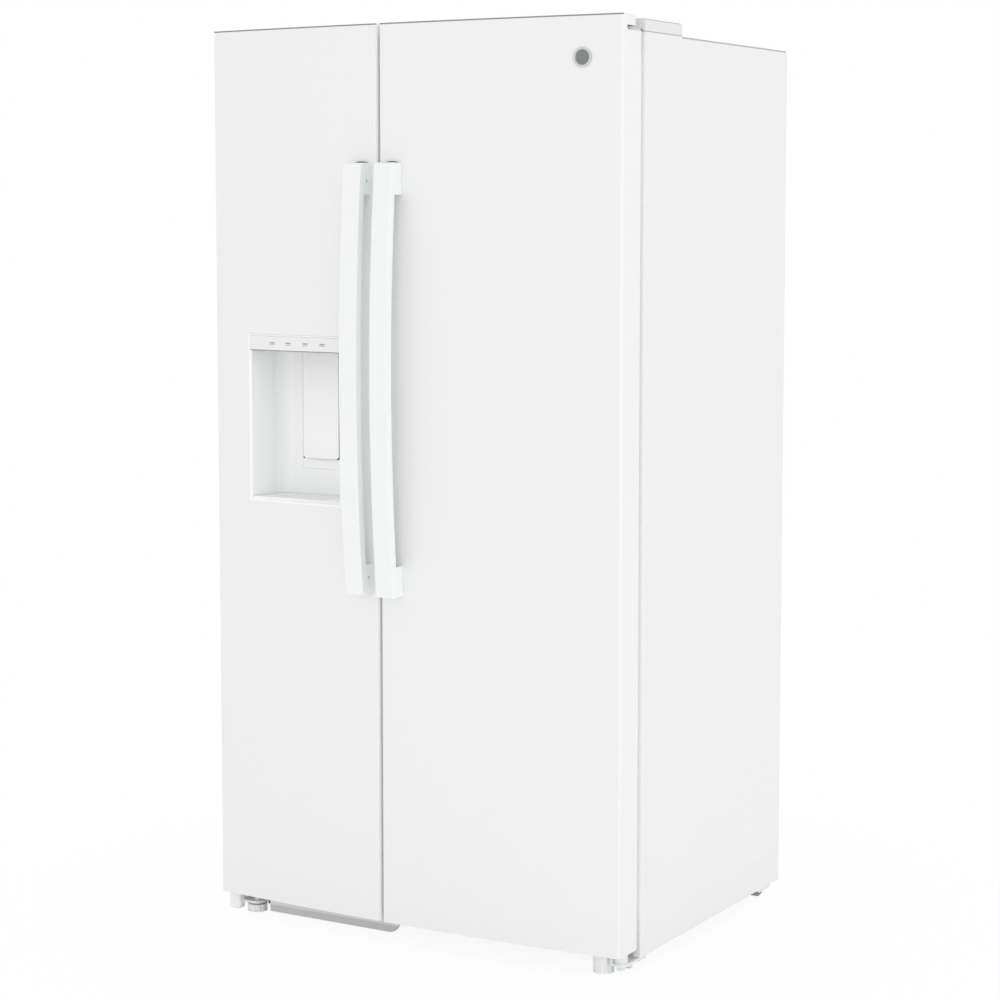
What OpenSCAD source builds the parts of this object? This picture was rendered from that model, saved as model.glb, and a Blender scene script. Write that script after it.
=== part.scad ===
// Side by side refrigerator: freezer on the left with an ice and water dispenser in its door,
// fresh food compartment on the right. Millimetres, +Z up, the doors face -Y.
// Inside the modules y = 0 is the plane of the doors' front corners; at_face() moves each piece
// into the part's frame, whose origin is the centre of the footprint at floor level.

/* [Cabinet] */
// Width across both doors
body_w = 908; // [860:1:960]
// Depth of the cabinet behind the doors
case_d = 629; // [590:1:700]
// Height of the cabinet's top above the floor
case_top = 1736; // [1690:1:1790]
// Lower edge of the cabinet's side panels above the floor
case_low = 23; // [20:1:30]
// Radius of the long top edges of the cabinet
case_edge_r = 9; // [6:0.5:12]
// Sheet thickness of the steel wrapper and the rear panels
sheet_t = 1.5; // [1:0.1:2]
// Thickness of the inner liners
liner_t = 2; // [1.5:0.1:3]
// Insulated wall beside the freezer compartment, liner to outside
freezer_wall = 58; // [54:1:64]
// Insulated wall beside the fresh food compartment
fresh_wall = 50; // [48:1:60]
// Wall between the two compartments
mullion_w = 52; // [46:1:58]
// Insulated top wall
top_wall = 52; // [46:1:60]
// Insulated rear wall
back_wall = 50; // [44:1:60]
// Height of the compartments' floor
cavity_floor = 110; // [100:1:120]
// Corner radius of the compartments
cavity_r = 18; // [12:1:24]
// Height of the machine compartment's ceiling
machine_top = 215; // [205:1:225]
// Depth of the machine compartment
machine_d = 230; // [220:1:250]
// Insulation over the machine compartment
machine_wall = 40; // [36:1:46]

/* [Doors] */
// Centre of the gap between the doors, to the left of the cabinet's middle
split = 57; // [40:1:70]
// Gap between the doors
door_gap = 6; // [5:0.5:8]
// Height of the doors' lower edge above the floor
door_low = 42; // [40:1:48]
// How far the doors stand above the cabinet's top
door_rise = 27; // [26:1:32]
// Thickness of a door at its side
door_t = 77; // [74:1:84]
// Gap between door and cabinet that the gasket fills
gasket_gap = 7; // [7:0.5:9]
// How far the middle of the bowed fronts stands ahead of the corners
bow = 18.5; // [10:0.5:24]
// Radius of the doors' front corners
corner_r = 6; // [4:0.5:8]
// Radius of the rear corner beside the hinge
heel_r = 10; // [8:0.5:12]
// Sheet thickness of the door skins
skin_t = 1.2; // [0.8:0.1:1.6]
// Height of the upper end caps
cap_top_h = 62; // [58:1:72]
// Height of the lower end caps
cap_low_h = 34; // [30:1:42]
// Depth of the ridges on the inner door liners
dyke_d = 45; // [40:1:48]
// Width of those ridges
dyke_w = 34; // [28:1:40]
// Clearance of the ridges to the compartment wall at the hinge
dyke_gap_hinge = 6; // [5:0.5:10]
// Clearance of the ridges to the compartment wall at the handle
dyke_gap_free = 16; // [14:0.5:20]
// Width of the gasket
gasket_w = 14; // [12:0.5:18]
// Distance of the gasket from the door's edge
gasket_inset = 16; // [16:0.5:20]
// Distance from the front corners back to the door bins' rear wall
bin_d = 104; // [90:1:106]

/* [Hinges and feet] */
// Distance of the hinge pins from the cabinet's sides
pin_inset = 20; // [19:0.5:22]
// Distance of the hinge pins behind the doors' front corners
pin_back = 45; // [44:0.5:46]
// Radius of the hinge pins
pin_r = 5; // [4:0.1:6]
// Running clearance round the pins
pin_play = 0.06; // [0.04:0.01:0.1]
// Thickness of the hinge plates
plate_t = 5; // [4:0.5:6]
// Half width of the hinge arms
arm_r = 11; // [9:0.5:12]
// Height of the hinge covers
cover_h = 23; // [20:0.5:25]
// Length of the hinge covers
cover_l = 150; // [120:1:180]
// Width of the hinge covers
cover_w = 74; // [60:1:90]
// Radius of the levelling feet
foot_r = 20; // [17:0.5:22]
// Height of the levelling feet
foot_h = 14; // [10:0.5:16]
// Radius of the levelling feet's threaded stems
stem_r = 5; // [4:0.5:6]
// Gap between the knob of the tall right levelling foot and the door
foot_gap = 9; // [8:0.5:12]
// Distance of the levelling feet from the cabinet's sides
foot_inset = 56; // [54:1:60]
// Distance of the levelling feet behind the doors' front corners
foot_y = 44; // [42:1:46]
// Radius of the rear rollers
roller_r = 24; // [22:0.5:25]
// Width of the rear rollers
roller_w = 24; // [18:1:28]

/* [Handles] */
// Reach of the handles in front of the door
handle_reach = 55; // [45:1:60]
// Reach of the handles at their ends
handle_end_reach = 35; // [30:1:40]
// Width of the handles
handle_w = 39; // [32:1:44]
// Distance of the handles from the doors' inner edges
handle_inset = 12; // [10:0.5:20]
// Length of the handles
handle_l = 821; // [740:1:860]
// Height of the handles' lower ends above the floor
handle_low = 682; // [640:1:720]
// Length of the handles' feet
handle_foot = 60; // [50:1:70]
// Thickness of the grip
grip_t = 16; // [13:0.5:18]
// Radius of the handles' ends, seen from the side
handle_nose = 5; // [3:0.5:8]
// Radius of the handles' set screw bores
screw_r = 2.6; // [2:0.1:3]
// Distance of the set screws from the handles' ends
screw_in = 34; // [28:1:40]

/* [Dispenser] */
// Left edge of the dispenser, from the cabinet's middle
disp_left = 371; // [365:1:376]
// Width of the dispenser's opening in the door
disp_w = 228; // [210:1:232]
// Lower edge of the dispenser above the floor
disp_low = 843; // [820:1:860]
// Height of the dispenser's opening in the door
disp_h = 330; // [322:1:336]
// Width of the frame round the recess
bezel_w = 5; // [4:0.5:7]
// Height of the control strip
strip_h = 29; // [26:0.5:33]
// How far back the recess's rear wall lies behind the doors' front corners
recess_back = 80; // [74:1:82]
// Taper of the recess's side walls
recess_taper = 17; // [10:1:22]
// Corner radius of the recess
recess_r = 38; // [24:1:44]
// Wall thickness of the dispenser housing
housing_t = 2.5; // [2:0.1:3]
// Width of the paddle
paddle_w = 79; // [70:1:90]
// Height of the paddle's lower edge above the recess floor
paddle_low = 64; // [56:1:80]
// Thickness of the paddle
paddle_t = 3; // [2.5:0.1:3.5]
// Width of the ice chute
chute_w = 66; // [56:1:70]

/* [Interior] */
// Thickness of the glass shelves
glass_t = 5; // [4:0.5:6]
// Height of the shelf frames
frame_h = 14; // [12:0.5:18]
// Setback of shelves and drawers behind the door bins
shelf_gap = 8; // [6:1:14]
// Wire radius of the freezer shelves and basket
wire_r = 2.5; // [2:0.1:3]
// Wall thickness of the drawers and bins
bin_t = 2.5; // [2:0.1:3]
// Setback of the drawers behind the doors' rear face
drawer_y = 225; // [220:1:240]
// Running clearance beside the drawers
drawer_play = 3; // [2:0.5:5]
// Height of the lowest shelves above the floor
shelf_low = 470; // [460:1:480]
// Distance between the freezer shelves
shelf_pitch = 170; // [160:1:172]
// Height of the ice bucket
bucket_h = 182; // [150:1:190]
// Height of the bins in the freezer door
bin_h = 96; // [80:1:100]
// Height of the dairy compartment
dairy_h = 120; // [100:1:130]

/* [Hidden] */
$fn = 40;
eps = 0.5;                                   // overshoot of cutting tools
fit = 0.3;                                   // gap between pieces that move past each other
half_w = body_w/2;
case_front = door_t + gasket_gap;
case_back = case_front + case_d;
door_top = case_top + door_rise;
face_y = (handle_reach + bow - case_back)/2; // puts the footprint's centre on y = 0
bow_r = (half_w*half_w + bow*bow)/(2*bow);
bow_fn = 3000;
// compartments: [left, right]
fz = [-half_w + freezer_wall, -split - mullion_w/2];
ff = [-split + mullion_w/2, half_w - fresh_wall];
cavity_top = case_top - top_wall;
cavity_back = case_back - back_wall;
step_top = machine_top + machine_wall;       // shelf over the machine compartment
step_front = case_back - machine_d - machine_wall;
// doors: [left, right]
fz_door = [-half_w, -split - door_gap/2];
ff_door = [-split + door_gap/2, half_w];
return_w = 15;                               // returned edge of a door skin
pin_x = half_w - pin_inset;
foot_x = half_w - foot_inset;
foot_tall = door_low - foot_gap;
bracket_z = 17;                              // underside of the lower hinge plates
dyke_y = door_t + dyke_d;
bin_back = door_t + bin_d;
shelf_y = bin_back + shelf_gap;
rail_out = half_w - sheet_t - 3;             // outer face of the base rails
rail_w = 44;
rail_low = 14;
rail_top = 60;
ceiling_z = disp_low + disp_h - 3;           // ceiling of the dispenser's recess
chute_z = [ceiling_z+22, ceiling_z+64];
ledge_w = 6;                                 // ledges of the liners and the lips that run on them
lip_t = 4;
white = [0.93, 0.94, 0.94];
steel = [0.72, 0.74, 0.75];
dark = [0.2, 0.21, 0.22];
foam_c = [0.94, 0.9, 0.72];
glass_c = [0.75, 0.88, 0.88, 0.5];

// ---- helpers -------------------------------------------------------------------------------
module at_face() translate([0, face_y, 0]) children();
module box(x, y, z) translate([x[0], y[0], z[0]]) cube([x[1]-x[0], y[1]-y[0], z[1]-z[0]]);
// outline drawn in x and z, run from y[0] to y[1]
module along_y(y) translate([0, y[1], 0]) rotate([90, 0, 0]) linear_extrude(y[1]-y[0]) children();
// outline drawn in y and z, run from x[0] to x[1]
module along_x(x) translate([x[0], 0, 0]) rotate([90, 0, 90]) linear_extrude(x[1]-x[0]) children();
module along_z(z) translate([0, 0, z[0]]) linear_extrude(z[1]-z[0]) children();
module rod_x(x, y, z, r) translate([x[0], y, z]) rotate([0, 90, 0]) cylinder(r = r, h = x[1]-x[0]);
module rod_y(x, y, z, r, n = $fn) translate([x, y[1], z]) rotate([90, 0, 0])
    cylinder(r = r, h = y[1]-y[0], $fn = n);
module rod_z(x, y, z, r, n = $fn) translate([x, y, z[0]])
    cylinder(r = r, h = z[1]-z[0], $fn = n);
module rect(a, b) translate([a[0], b[0]]) square([a[1]-a[0], b[1]-b[0]]);
module round_rect(a, b, r) {
    rect([a[0]+r, a[1]-r], b);
    rect(a, [b[0]+r, b[1]-r]);
    for (x = [a[0]+r, a[1]-r], y = [b[0]+r, b[1]-r]) translate([x, y]) circle(r = r);
}
module mirrored() {
    children();
    mirror([1, 0, 0]) children();
}
function arc(c, r, a0, a1, n) = [for (i = [0:n]) c + r*[cos(a0+(a1-a0)*i/n), sin(a0+(a1-a0)*i/n)]];
function grow(a, d) = [a[0]-d, a[1]+d];
function bow_at(x) = bow_r - bow - sqrt(bow_r*bow_r - x*x);   // y of the doors' front at x
// open tub: outline in x and y with rounded corners, wall t, open at the top
module tub(x, y, z, t, r) difference() {
    along_z(z) round_rect(x, y, r);
    along_z([z[0]+t, z[1]+eps]) round_rect(grow(x, -t), grow(y, -t), r-t);
}

// ---- cabinet -------------------------------------------------------------------------------
module case_outline(s) {
    low = case_low - (s > 0 ? eps : 0);
    rect(grow([-half_w, half_w], -s), [low, case_top-case_edge_r]);
    rect(grow([-half_w, half_w], -case_edge_r), [low, case_top-s]);
    for (x = [-1, 1]) translate([x*(half_w-case_edge_r), case_top-case_edge_r])
        circle(r = case_edge_r-s);
}

rib_y = case_back - 178;                     // ribs pressed into the side panels
rib_l = 112;
rib_r = 3;
module case_shell() color(white) at_face() {
    difference() {
        union() {
            along_y([case_front, case_back]) difference() {
                case_outline(0);
                case_outline(sheet_t);
            }
            // returned front edge
            along_y([case_front, case_front+sheet_t]) difference() {
                case_outline(0);
                rect(grow([-half_w, half_w], -return_w), [case_low-1, case_top-return_w]);
            }
        }
        mirrored() for (i = [0:3]) let (z = 84 + 68*i)
            rod_y(half_w+rib_r-0.8, [rib_y, rib_y+rib_l], z, rib_r);
    }
}

module case_back_panel() color(steel) at_face() difference() {
    box(grow([-half_w, half_w], -sheet_t), [case_back-sheet_t, case_back],
        [machine_top, case_top-case_edge_r]);
    // two long stiffening beads pressed into the sheet
    for (x = [-200, 200]) box([x-6, x+6], [case_back-0.6, case_back+eps],
        [machine_top+120, case_top-160]);
}

module cavity(x, s) difference() {
    along_y([case_front-(s == 0 ? eps : 0), cavity_back+s])
        round_rect(grow(x, s), grow([cavity_floor, cavity_top], s), cavity_r+s);
    box(grow(x, s+1), [step_front+s, cavity_back+s+1], [0, step_top-s]);
}

module cabinet_insulation() color(foam_c) at_face() difference() {
    union() {
        along_y([case_front+liner_t, case_back-sheet_t]) intersection() {
            case_outline(sheet_t);
            rect([-body_w, body_w], [rail_top+sheet_t, case_top]);
        }
    }
    cavity(fz, liner_t);
    cavity(ff, liner_t);
    box([-half_w, half_w], [case_back-machine_d, case_back], [0, machine_top]);
}

// A liner: open box with the step at its foot, a front flange and pairs of side ledges that
// carry shelves, drawers and the ice bucket. Each ledge is [height of its top, rear end].
module liner(x, flange, ledges) {
    difference() {
        union() {
            cavity(x, liner_t);
            box(flange, [case_front, case_front+liner_t], [rail_top+sheet_t, case_top-return_w]);
        }
        cavity(x, 0);
    }
    for (l = ledges, k = [[x[0]-eps/2, x[0]+ledge_w], [x[1]-ledge_w, x[1]+eps/2]])
        box(k, [shelf_y, l[1]], [l[0]-lip_t, l[0]]);
}

freezer_levels = [for (i = [0:4]) shelf_low + i*shelf_pitch];
module freezer_liner() color(white) at_face()
    liner(fz, [-half_w+return_w, -split-fit/2], concat(
        [for (z = freezer_levels) [z, cavity_back-70]],
        [[basket_z[1]-lip_t/2-fit, step_front], [bucket_z[1]-lip_t-fit, bucket_y[1]]]));

fresh_levels = [shelf_low, shelf_low+230, shelf_low+480, shelf_low+730];
module fresh_food_liner() color(white) at_face()
    liner(ff, [-split+fit/2, half_w-return_w], concat(
        [for (z = fresh_levels) [z, cavity_back-10]],
        [for (z = [crisper_up_z, snack_z]) [z[1]-lip_t-fit, cavity_back-10]],
        [[crisper_low_z[1]-lip_t-fit, step_front]]));

module center_mullion() color(white) at_face() difference() {
    box([-split-mullion_w/2+8, -split+mullion_w/2-8], [case_front-1, case_front],
        [cavity_floor-20, cavity_top+20]);
}

// ---- base ----------------------------------------------------------------------------------
roller_y = case_back - 62;
roller_x = rail_out - rail_w/2;
// side view of a rail: it drops below the cabinet's side at the front foot and at the roller
rail_side = [[case_front+5, rail_top], [case_front+5, rail_low], [case_front+30, rail_low],
    [case_front+46, case_low+1.5], [roller_y-40, case_low+1.5], [roller_y-24, rail_low],
    [roller_y+24, rail_low], [roller_y+40, case_low+1.5], [case_back-6, case_low+1.5],
    [case_back-6, rail_top]];
module base_frame() color(steel) at_face() {
    difference() {
        union() {
            mirrored() difference() {
                along_x([rail_out-rail_w, rail_out]) polygon(rail_side);
                box(grow([rail_out-rail_w, rail_out], -2), [case_front, case_back], [0, rail_top-2]);
            }
            // front cross rail, an angle
            box([-rail_out+rail_w, rail_out-rail_w], [case_front+8, case_front+11],
                [rail_low+14, rail_top]);
            box([-rail_out+rail_w, rail_out-rail_w], [case_front+8, case_front+34],
                [rail_top-2, rail_top]);
            // rear tray that carries the compressor, with an upturned rear edge
            box([-rail_out+rail_w-1, rail_out-rail_w+1], [case_back-machine_d+6, case_back-8],
                [30, 32]);
            box([-rail_out+rail_w-1, rail_out-rail_w+1], [case_back-10, case_back-8], [30, 46]);
        }
        // lightening slots in the tray
        for (x = [-80, 0, 80, 160]) box([x-25, x+25], [case_back-200, case_back-170], [29, 33]);
    }
    mirrored() rod_x([rail_out-rail_w, rail_out], roller_y, roller_r, 4);
}

module machine_cover() color(steel) at_face() difference() {
    box(grow([-half_w, half_w], -sheet_t-1), [case_back-sheet_t, case_back],
        [50, machine_top-fit]);
    for (k = [0:7], x = [-320, -150, 20, 190])
        along_y([case_back-sheet_t-eps, case_back+eps])
            round_rect([x, x+120], [74+k*16, 81+k*16], 3.4);
    // access to the water inlet
    box([valve_x-24, valve_x+24], [case_back-sheet_t-1, case_back+1], [40, inlet_z+34]);
}

compressor_c = [224-half_w, case_back-118];
module compressor() color(dark) at_face() translate([compressor_c[0], compressor_c[1], 0]) {
    // welded can with a domed lid and a seam flange
    rotate_extrude() {
        rect([0, 72], [46, 150]);
        rect([0, 76], [112, 118]);
        intersection() {
            translate([0, 80]) circle(r = 112);
            rect([0, 68], [149, 196]);
        }
    }
    // rubber feet on three lugs
    for (a = [30, 150, 270]) rotate([0, 0, a]) {
        box([60, 100], [-14, 14], [44, 48]);
        rod_z(88, 0, [32, 50], 10);
    }
    // terminal box and suction stub
    box([66, 94], [-22, 22], [70, 108]);
    rod_z(-52, 0, [150, 190], 5);
}

coil_x = [half_w-344, half_w-124];
pan_t = 2;
module condenser_coil() color(dark) at_face() {
    for (j = [0:5]) let (z = 56 + 24*j) {
        for (y = [case_back-150, case_back-110]) rod_x(coil_x, y, z, 4);
        for (s = [0, 1]) translate([coil_x[s], case_back-130, z]) rotate([0, 0, s == 0 ? 90 : -90])
            rotate_extrude(angle = 180) translate([20, 0]) circle(r = 4, $fn = 24);
    }
    for (i = [0:10]) box([coil_x[0]+i*22-0.5, coil_x[0]+i*22+0.5],
        [case_back-160, case_back-100], [44, 188]);
    // feet that stand in the drain pan
    for (x = coil_x) box([x-6, x+6], [case_back-134, case_back-126], [32+fit+pan_t, 60]);
}

fan_x = 10;
fan_c = [case_back-130, 122];
module condenser_fan_motor() color(dark) at_face() {
    difference() {
        box([fan_x, fan_x+3], [fan_c[0]-82, fan_c[0]+82], [32, fan_c[1]+82]);
        rod_x([fan_x-1, fan_x+4], fan_c[0], fan_c[1], 74);
    }
    // spider that holds the motor in the middle of the ring
    for (a = [45, 135]) translate([fan_x+1.5, fan_c[0], fan_c[1]]) rotate([a, 0, 0])
        cube([3, 10, 152], center = true);
    rod_x([fan_x-34, fan_x+3], fan_c[0], fan_c[1], 26);
    rod_x([fan_x-34, fan_x+30], fan_c[0], fan_c[1], 3);
}

module fan(r, hub, n, pitch, w, bore) difference() {
    union() {
        cylinder(r = hub, h = w);
        for (i = [0:n-1]) rotate([0, 0, i*360/n]) translate([hub-2, 0, w/2]) rotate([pitch, 0, 0])
            translate([0, -w*0.75, -0.75]) linear_extrude(1.5)
                polygon(concat([[0, w*0.35], [0, w*1.15]], arc([r-hub-14, w*0.75], 16, 75, -75, 8)));
    }
    translate([0, 0, -eps]) cylinder(r = bore, h = w+2*eps);
}

module condenser_fan() color([0.35, 0.36, 0.38]) at_face()
    translate([fan_x+6, fan_c[0], fan_c[1]]) rotate([0, 90, 0]) fan(68, 18, 5, 32, 20, 3+pin_play);

module drain_pan() color(dark) at_face()
    tub([coil_x[0]-36, coil_x[1]+24], [case_back-170, case_back-90], [32+fit, 43], pan_t, 8);

valve_x = rail_w - rail_out + 29.5;          // beside the left rail
inlet_z = 66;
module water_valve() color([0.86, 0.87, 0.85]) at_face() {
    box([valve_x-14, valve_x+14], [case_back-60, case_back-20], [inlet_z-20, inlet_z+18]);
    box([valve_x-22, valve_x+22], [case_back-62, case_back-58], [32, inlet_z+34]);
    rod_y(valve_x, [case_back-20.5, case_back], inlet_z, 13.2);
    for (x = [valve_x-7, valve_x+7]) rod_z(x, case_back-42, [inlet_z+17, inlet_z+32], 6);
}

// toe panel under the freezer door; its free end sweeps up in a curve
toe_right = -50;
module toe_panel() color([0.75, 0.78, 0.78]) at_face() {
    low = 4;
    top = door_low - 5;
    x0 = -foot_x + foot_r + 16;
    sweep = 26;
    difference() {
        union() {
            along_y([38, 41]) {
                rect([x0, toe_right-sweep], [low, top]);
                rect([toe_right-sweep-eps, toe_right], [low+sweep, top]);
                intersection() {
                    translate([toe_right-sweep, low+sweep]) circle(r = sweep);
                    rect([toe_right-sweep-eps, toe_right+1], [low, low+sweep+eps]);
                }
            }
            // upper lip runs back under the doors, with two arms to the cross rail
            box([x0, toe_right], [38, 56], [top-2.5, top]);
            for (x = [x0+30, toe_right-60]) {
                box([x, x+30], [55.5, case_front+8], [top-2.5, top]);
                box([x, x+30], [case_front+5.5, case_front+8], [top-2.5, top+10]);
            }
        }
        for (i = [0:9]) box([x0+30+i*25, x0+45+i*25], [42, 52], [top-3, top+eps]);
    }
}

// ---- hinges and feet -----------------------------------------------------------------------
hinge_r = 17;                                // rounded end of the lower hinge plates
plate_r = 18;                                // rounded end over a levelling foot
// hinge pin with the upturned flange that is bolted to the rail
module pin_and_flange() {
    box([foot_x-plate_r, pin_x+hinge_r], [case_front+2, case_front+5], [bracket_z, rail_top-4]);
    rod_z(pin_x, pin_back, [bracket_z, door_low+22], pin_r);
}
// left: flat plate over a low foot, with a boss through it at the pin
module low_foot_bracket() {
    difference() {
        along_z([bracket_z, bracket_z+plate_t]) {
            translate([pin_x, pin_back]) circle(r = hinge_r);
            translate([foot_x, foot_y]) circle(r = plate_r);
            rect([foot_x, pin_x], [foot_y-16, foot_y+plate_r]);
            rect([foot_x-plate_r, pin_x+hinge_r], [foot_y, case_front+5]);
        }
        rod_z(foot_x, foot_y, [0, door_low], stem_r+pin_play);
    }
    rod_z(pin_x, pin_back, [bracket_z-2.5, door_low-fit], 14);
    pin_and_flange();
}
// right: the plate steps up to a thin arm over a tall foot
module tall_foot_bracket() {
    step_x = foot_x + foot_r + 1.5;
    arm_z = [foot_tall+3, foot_tall+6];
    along_z([bracket_z, bracket_z+plate_t]) {
        intersection() {
            translate([pin_x, pin_back]) circle(r = hinge_r);
            rect([step_x, half_w], [0, case_front]);
        }
        rect([step_x, pin_x], [foot_y-14, foot_y+plate_r]);
        rect([step_x, pin_x+hinge_r], [foot_y, case_front+5]);
    }
    box([step_x, step_x+4], [foot_y-14, foot_y+14], [bracket_z, arm_z[1]]);
    difference() {
        along_z(arm_z) {
            translate([foot_x, foot_y]) circle(r = 14);
            rect([foot_x, step_x+1], [foot_y-14, foot_y+14]);
        }
        rod_z(foot_x, foot_y, [0, door_low], stem_r+pin_play);
    }
    // spacer under the door and the pin's bolt head
    rod_z(pin_x, pin_back, [bracket_z+plate_t, door_low-fit], 13);
    translate([pin_x, pin_back, bracket_z-9]) cylinder(r = 9, h = 9.01, $fn = 6);
    pin_and_flange();
}
module upper_bracket() {
    along_z([case_top, case_top+4]) {
        translate([pin_x, pin_back]) circle(r = arm_r);
        rect([pin_x-arm_r, pin_x+arm_r], [pin_back, case_front+30]);
        round_rect([pin_x-50, pin_x+8], [case_front+8, case_front+100], 6);
    }
    rod_z(pin_x, pin_back, [case_top-24, case_top+1], pin_r);
    for (y = [30, 55, 80]) translate([pin_x-30, case_front+y, case_top+3.9])
        cylinder(r = 6, h = 4, $fn = 6);
}
module hinge_brackets() color(steel) at_face() {
    mirror([1, 0, 0]) low_foot_bracket();
    tall_foot_bracket();
    mirrored() upper_bracket();
}

// moulded covers over the upper hinges; their outer side laps over the cabinet's rounded edge
module hinge_covers() color(white) at_face() mirrored() {
    x = [half_w-cover_w, half_w];
    y = [case_front, case_front+cover_l];
    top = case_top + cover_h;
    w = 2;
    difference() {
        along_y(y) {
            rect([x[0], x[1]-5], [case_top-1, top]);
            rect([x[0], x[1]], [case_top-case_edge_r, top-5]);
            translate([x[1]-5, top-5]) circle(r = 5);
        }
        along_y([y[0]-eps, y[1]-w]) rect([x[0]+w, x[1]-w-4], [case_top-2*case_edge_r, top-w]);
        // the cover ends on the cabinet's own outline
        along_y(grow(y, eps)) case_outline(0);
    }
    // front wall beside the hinge arm
    box([x[0], pin_x-arm_r-fit], [y[0], y[0]+w], [case_top, top-w/2]);
    box([pin_x-arm_r-1, pin_x+arm_r], [y[0], y[0]+w], [case_top+4+fit, top-w/2]);
    box([pin_x+arm_r-fit*2, x[1]-5], [y[0], y[0]+w], [case_top+4+fit, top-w/2]);
}

// fluted knob of height h with a hexagon on top and a stem that ends at the height top
module leveling_leg(h, top) {
    translate([foot_x, foot_y, 0]) {
        difference() {
            cylinder(r = foot_r, h = h);
            for (i = [0:11]) rotate([0, 0, i*30]) translate([foot_r+2.5, 0, 3])
                cylinder(r = 4.5, h = h);
        }
        cylinder(r = stem_r, h = top);
        translate([0, 0, h-0.1]) cylinder(r = 8, h = 2.4, $fn = 6);
    }
}
module leveling_leg_left() color([0.8, 0.81, 0.8]) at_face() mirror([1, 0, 0])
    leveling_leg(foot_h, bracket_z+plate_t+9);
module leveling_leg_right() color([0.8, 0.81, 0.8]) at_face()
    leveling_leg(foot_tall, door_low-1.5);

module rear_roller(s) translate([s*roller_x, roller_y, roller_r]) rotate([0, 90, 0]) difference() {
    rotate_extrude() {
        rect([0, roller_r-2], [-roller_w/2, roller_w/2]);
        rect([0, roller_r], [-roller_w/2+2, roller_w/2-2]);
    }
    for (z = [-roller_w/2-eps, roller_w/2-5]) translate([0, 0, z]) difference() {
        cylinder(r = roller_r-5, h = 5+eps);
        cylinder(r = 8, h = 5+eps);
    }
    cylinder(r = 4+pin_play, h = 2*roller_w, center = true);
}
module rear_roller_left() color(dark) at_face() rear_roller(-1);
module rear_roller_right() color(dark) at_face() rear_roller(1);

// ---- freezer compartment -------------------------------------------------------------------
module wire_shelf(z) {
    x = grow(fz, -4);
    y = [shelf_y, cavity_back-82];
    for (yy = [y[0], (y[0]+y[1])/2, y[1]-wire_r*2]) rod_x(x, yy+wire_r, z+wire_r, wire_r);
    for (i = [0:9]) rod_y(x[0]+10+i*(x[1]-x[0]-20)/9, y, z+wire_r*2.6, wire_r*0.8);
}
module freezer_shelves() color(white) at_face() for (z = freezer_levels) wire_shelf(z+fit/2);

basket_z = [cavity_floor+30, step_top-40];
module freezer_basket() color(white) at_face() {
    x = grow(fz, -drawer_play-ledge_w);
    y = [drawer_y, step_front-8];
    n = 7;
    // two rings of heavy wire, the lower one carries the bent cross wires
    for (z = [basket_z[0]+wire_r, basket_z[1]]) {
        for (yy = y) rod_x(x, yy, z, wire_r);
        for (xx = x) rod_y(xx, grow(y, wire_r/2), z, wire_r);
    }
    upright = [basket_z[0]+wire_r/2, basket_z[1]+wire_r/3];
    for (i = [0:n]) let (xx = x[0]+12+i*(x[1]-x[0]-24)/n) {
        for (yy = grow(y, -wire_r*0.8)) rod_z(xx, yy, upright, wire_r*0.6, 8);
        rod_y(xx, grow(y, -1), basket_z[0]+wire_r*0.9, wire_r*0.6, 8);
    }
    for (i = [1:3], xx = grow(x, -wire_r*0.8))
        rod_z(xx, y[0]+i*(y[1]-y[0])/4, upright, wire_r*0.6, 8);
    // front panel with a finger edge
    box(x, [y[0]-wire_r-3, y[0]-wire_r+0.5], [basket_z[1]-46, basket_z[1]+6]);
    // runners that hang on the liner's ledges
    for (k = [[x[0]-ledge_w, x[0]], [x[1], x[1]+ledge_w]]) box(k, grow(y, -4),
        grow([basket_z[1], basket_z[1]], lip_t/2));
}

maker_z = cavity_top - 128;
// the bucket is as tall as the room under the ice maker allows, up to its own height
bucket_z = [chute_z[0]+66, min(chute_z[0]+66+bucket_h, maker_z-10)];
bucket_y = [shelf_y+2, cavity_back-150];
bucket_x = grow(fz, -drawer_play-ledge_w);
auger_x = (bucket_x[0]+bucket_x[1])/2;
auger_z = bucket_z[0]+38;
module icemaker_body() color(white) at_face() {
    x = [fz[0]+0.3, fz[0]+108];
    y = [shelf_y+40, shelf_y+290];
    difference() {
        along_y(y) {
            rect(x, [maker_z+44, maker_z+104]);
            intersection() {
                translate([(x[0]+x[1])/2, maker_z+52]) circle(r = 40);
                rect(x, [maker_z+12, maker_z+54]);
            }
        }
        // half round ice mould, open at the top
        along_y([y[0]+46, y[1]-16]) {
            translate([(x[0]+x[1])/2, maker_z+52]) circle(r = 34);
            rect([x[0]+20, x[1]-20], [maker_z+52, maker_z+105]);
        }
        rod_y((x[0]+x[1])/2, grow(y, eps), maker_z+58, 4+pin_play);
        rod_y(x[1]-10, [y[0]-eps, y[0]+30], maker_z+60, 3+pin_play);
    }
    // cube dividers of the mould
    for (i = [1:6]) along_y([y[0]+46+i*26, y[0]+48+i*26]) difference() {
        intersection() {
            translate([(x[0]+x[1])/2, maker_z+52]) circle(r = 34.5);
            rect(x, [maker_z+12, maker_z+50]);
        }
        translate([(x[0]+x[1])/2, maker_z+58]) circle(r = 14);
    }
}
rake_x = fz[0]+54.15;
module icemaker_rake() color(white) at_face() {
    y = [shelf_y+40, shelf_y+290];
    rod_y(rake_x, [y[0]+6, y[1]-4], maker_z+58, 4);
    for (i = [0:6]) let (yy = y[0]+59+i*26)
        along_y([yy-2.5, yy+2.5]) translate([rake_x, maker_z+58]) {
            rect([-4, 4], [0, 28]);
            translate([0, 28]) circle(r = 4);
        }
}
arm_pivot = [fz[0]+98, maker_z+60];
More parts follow.
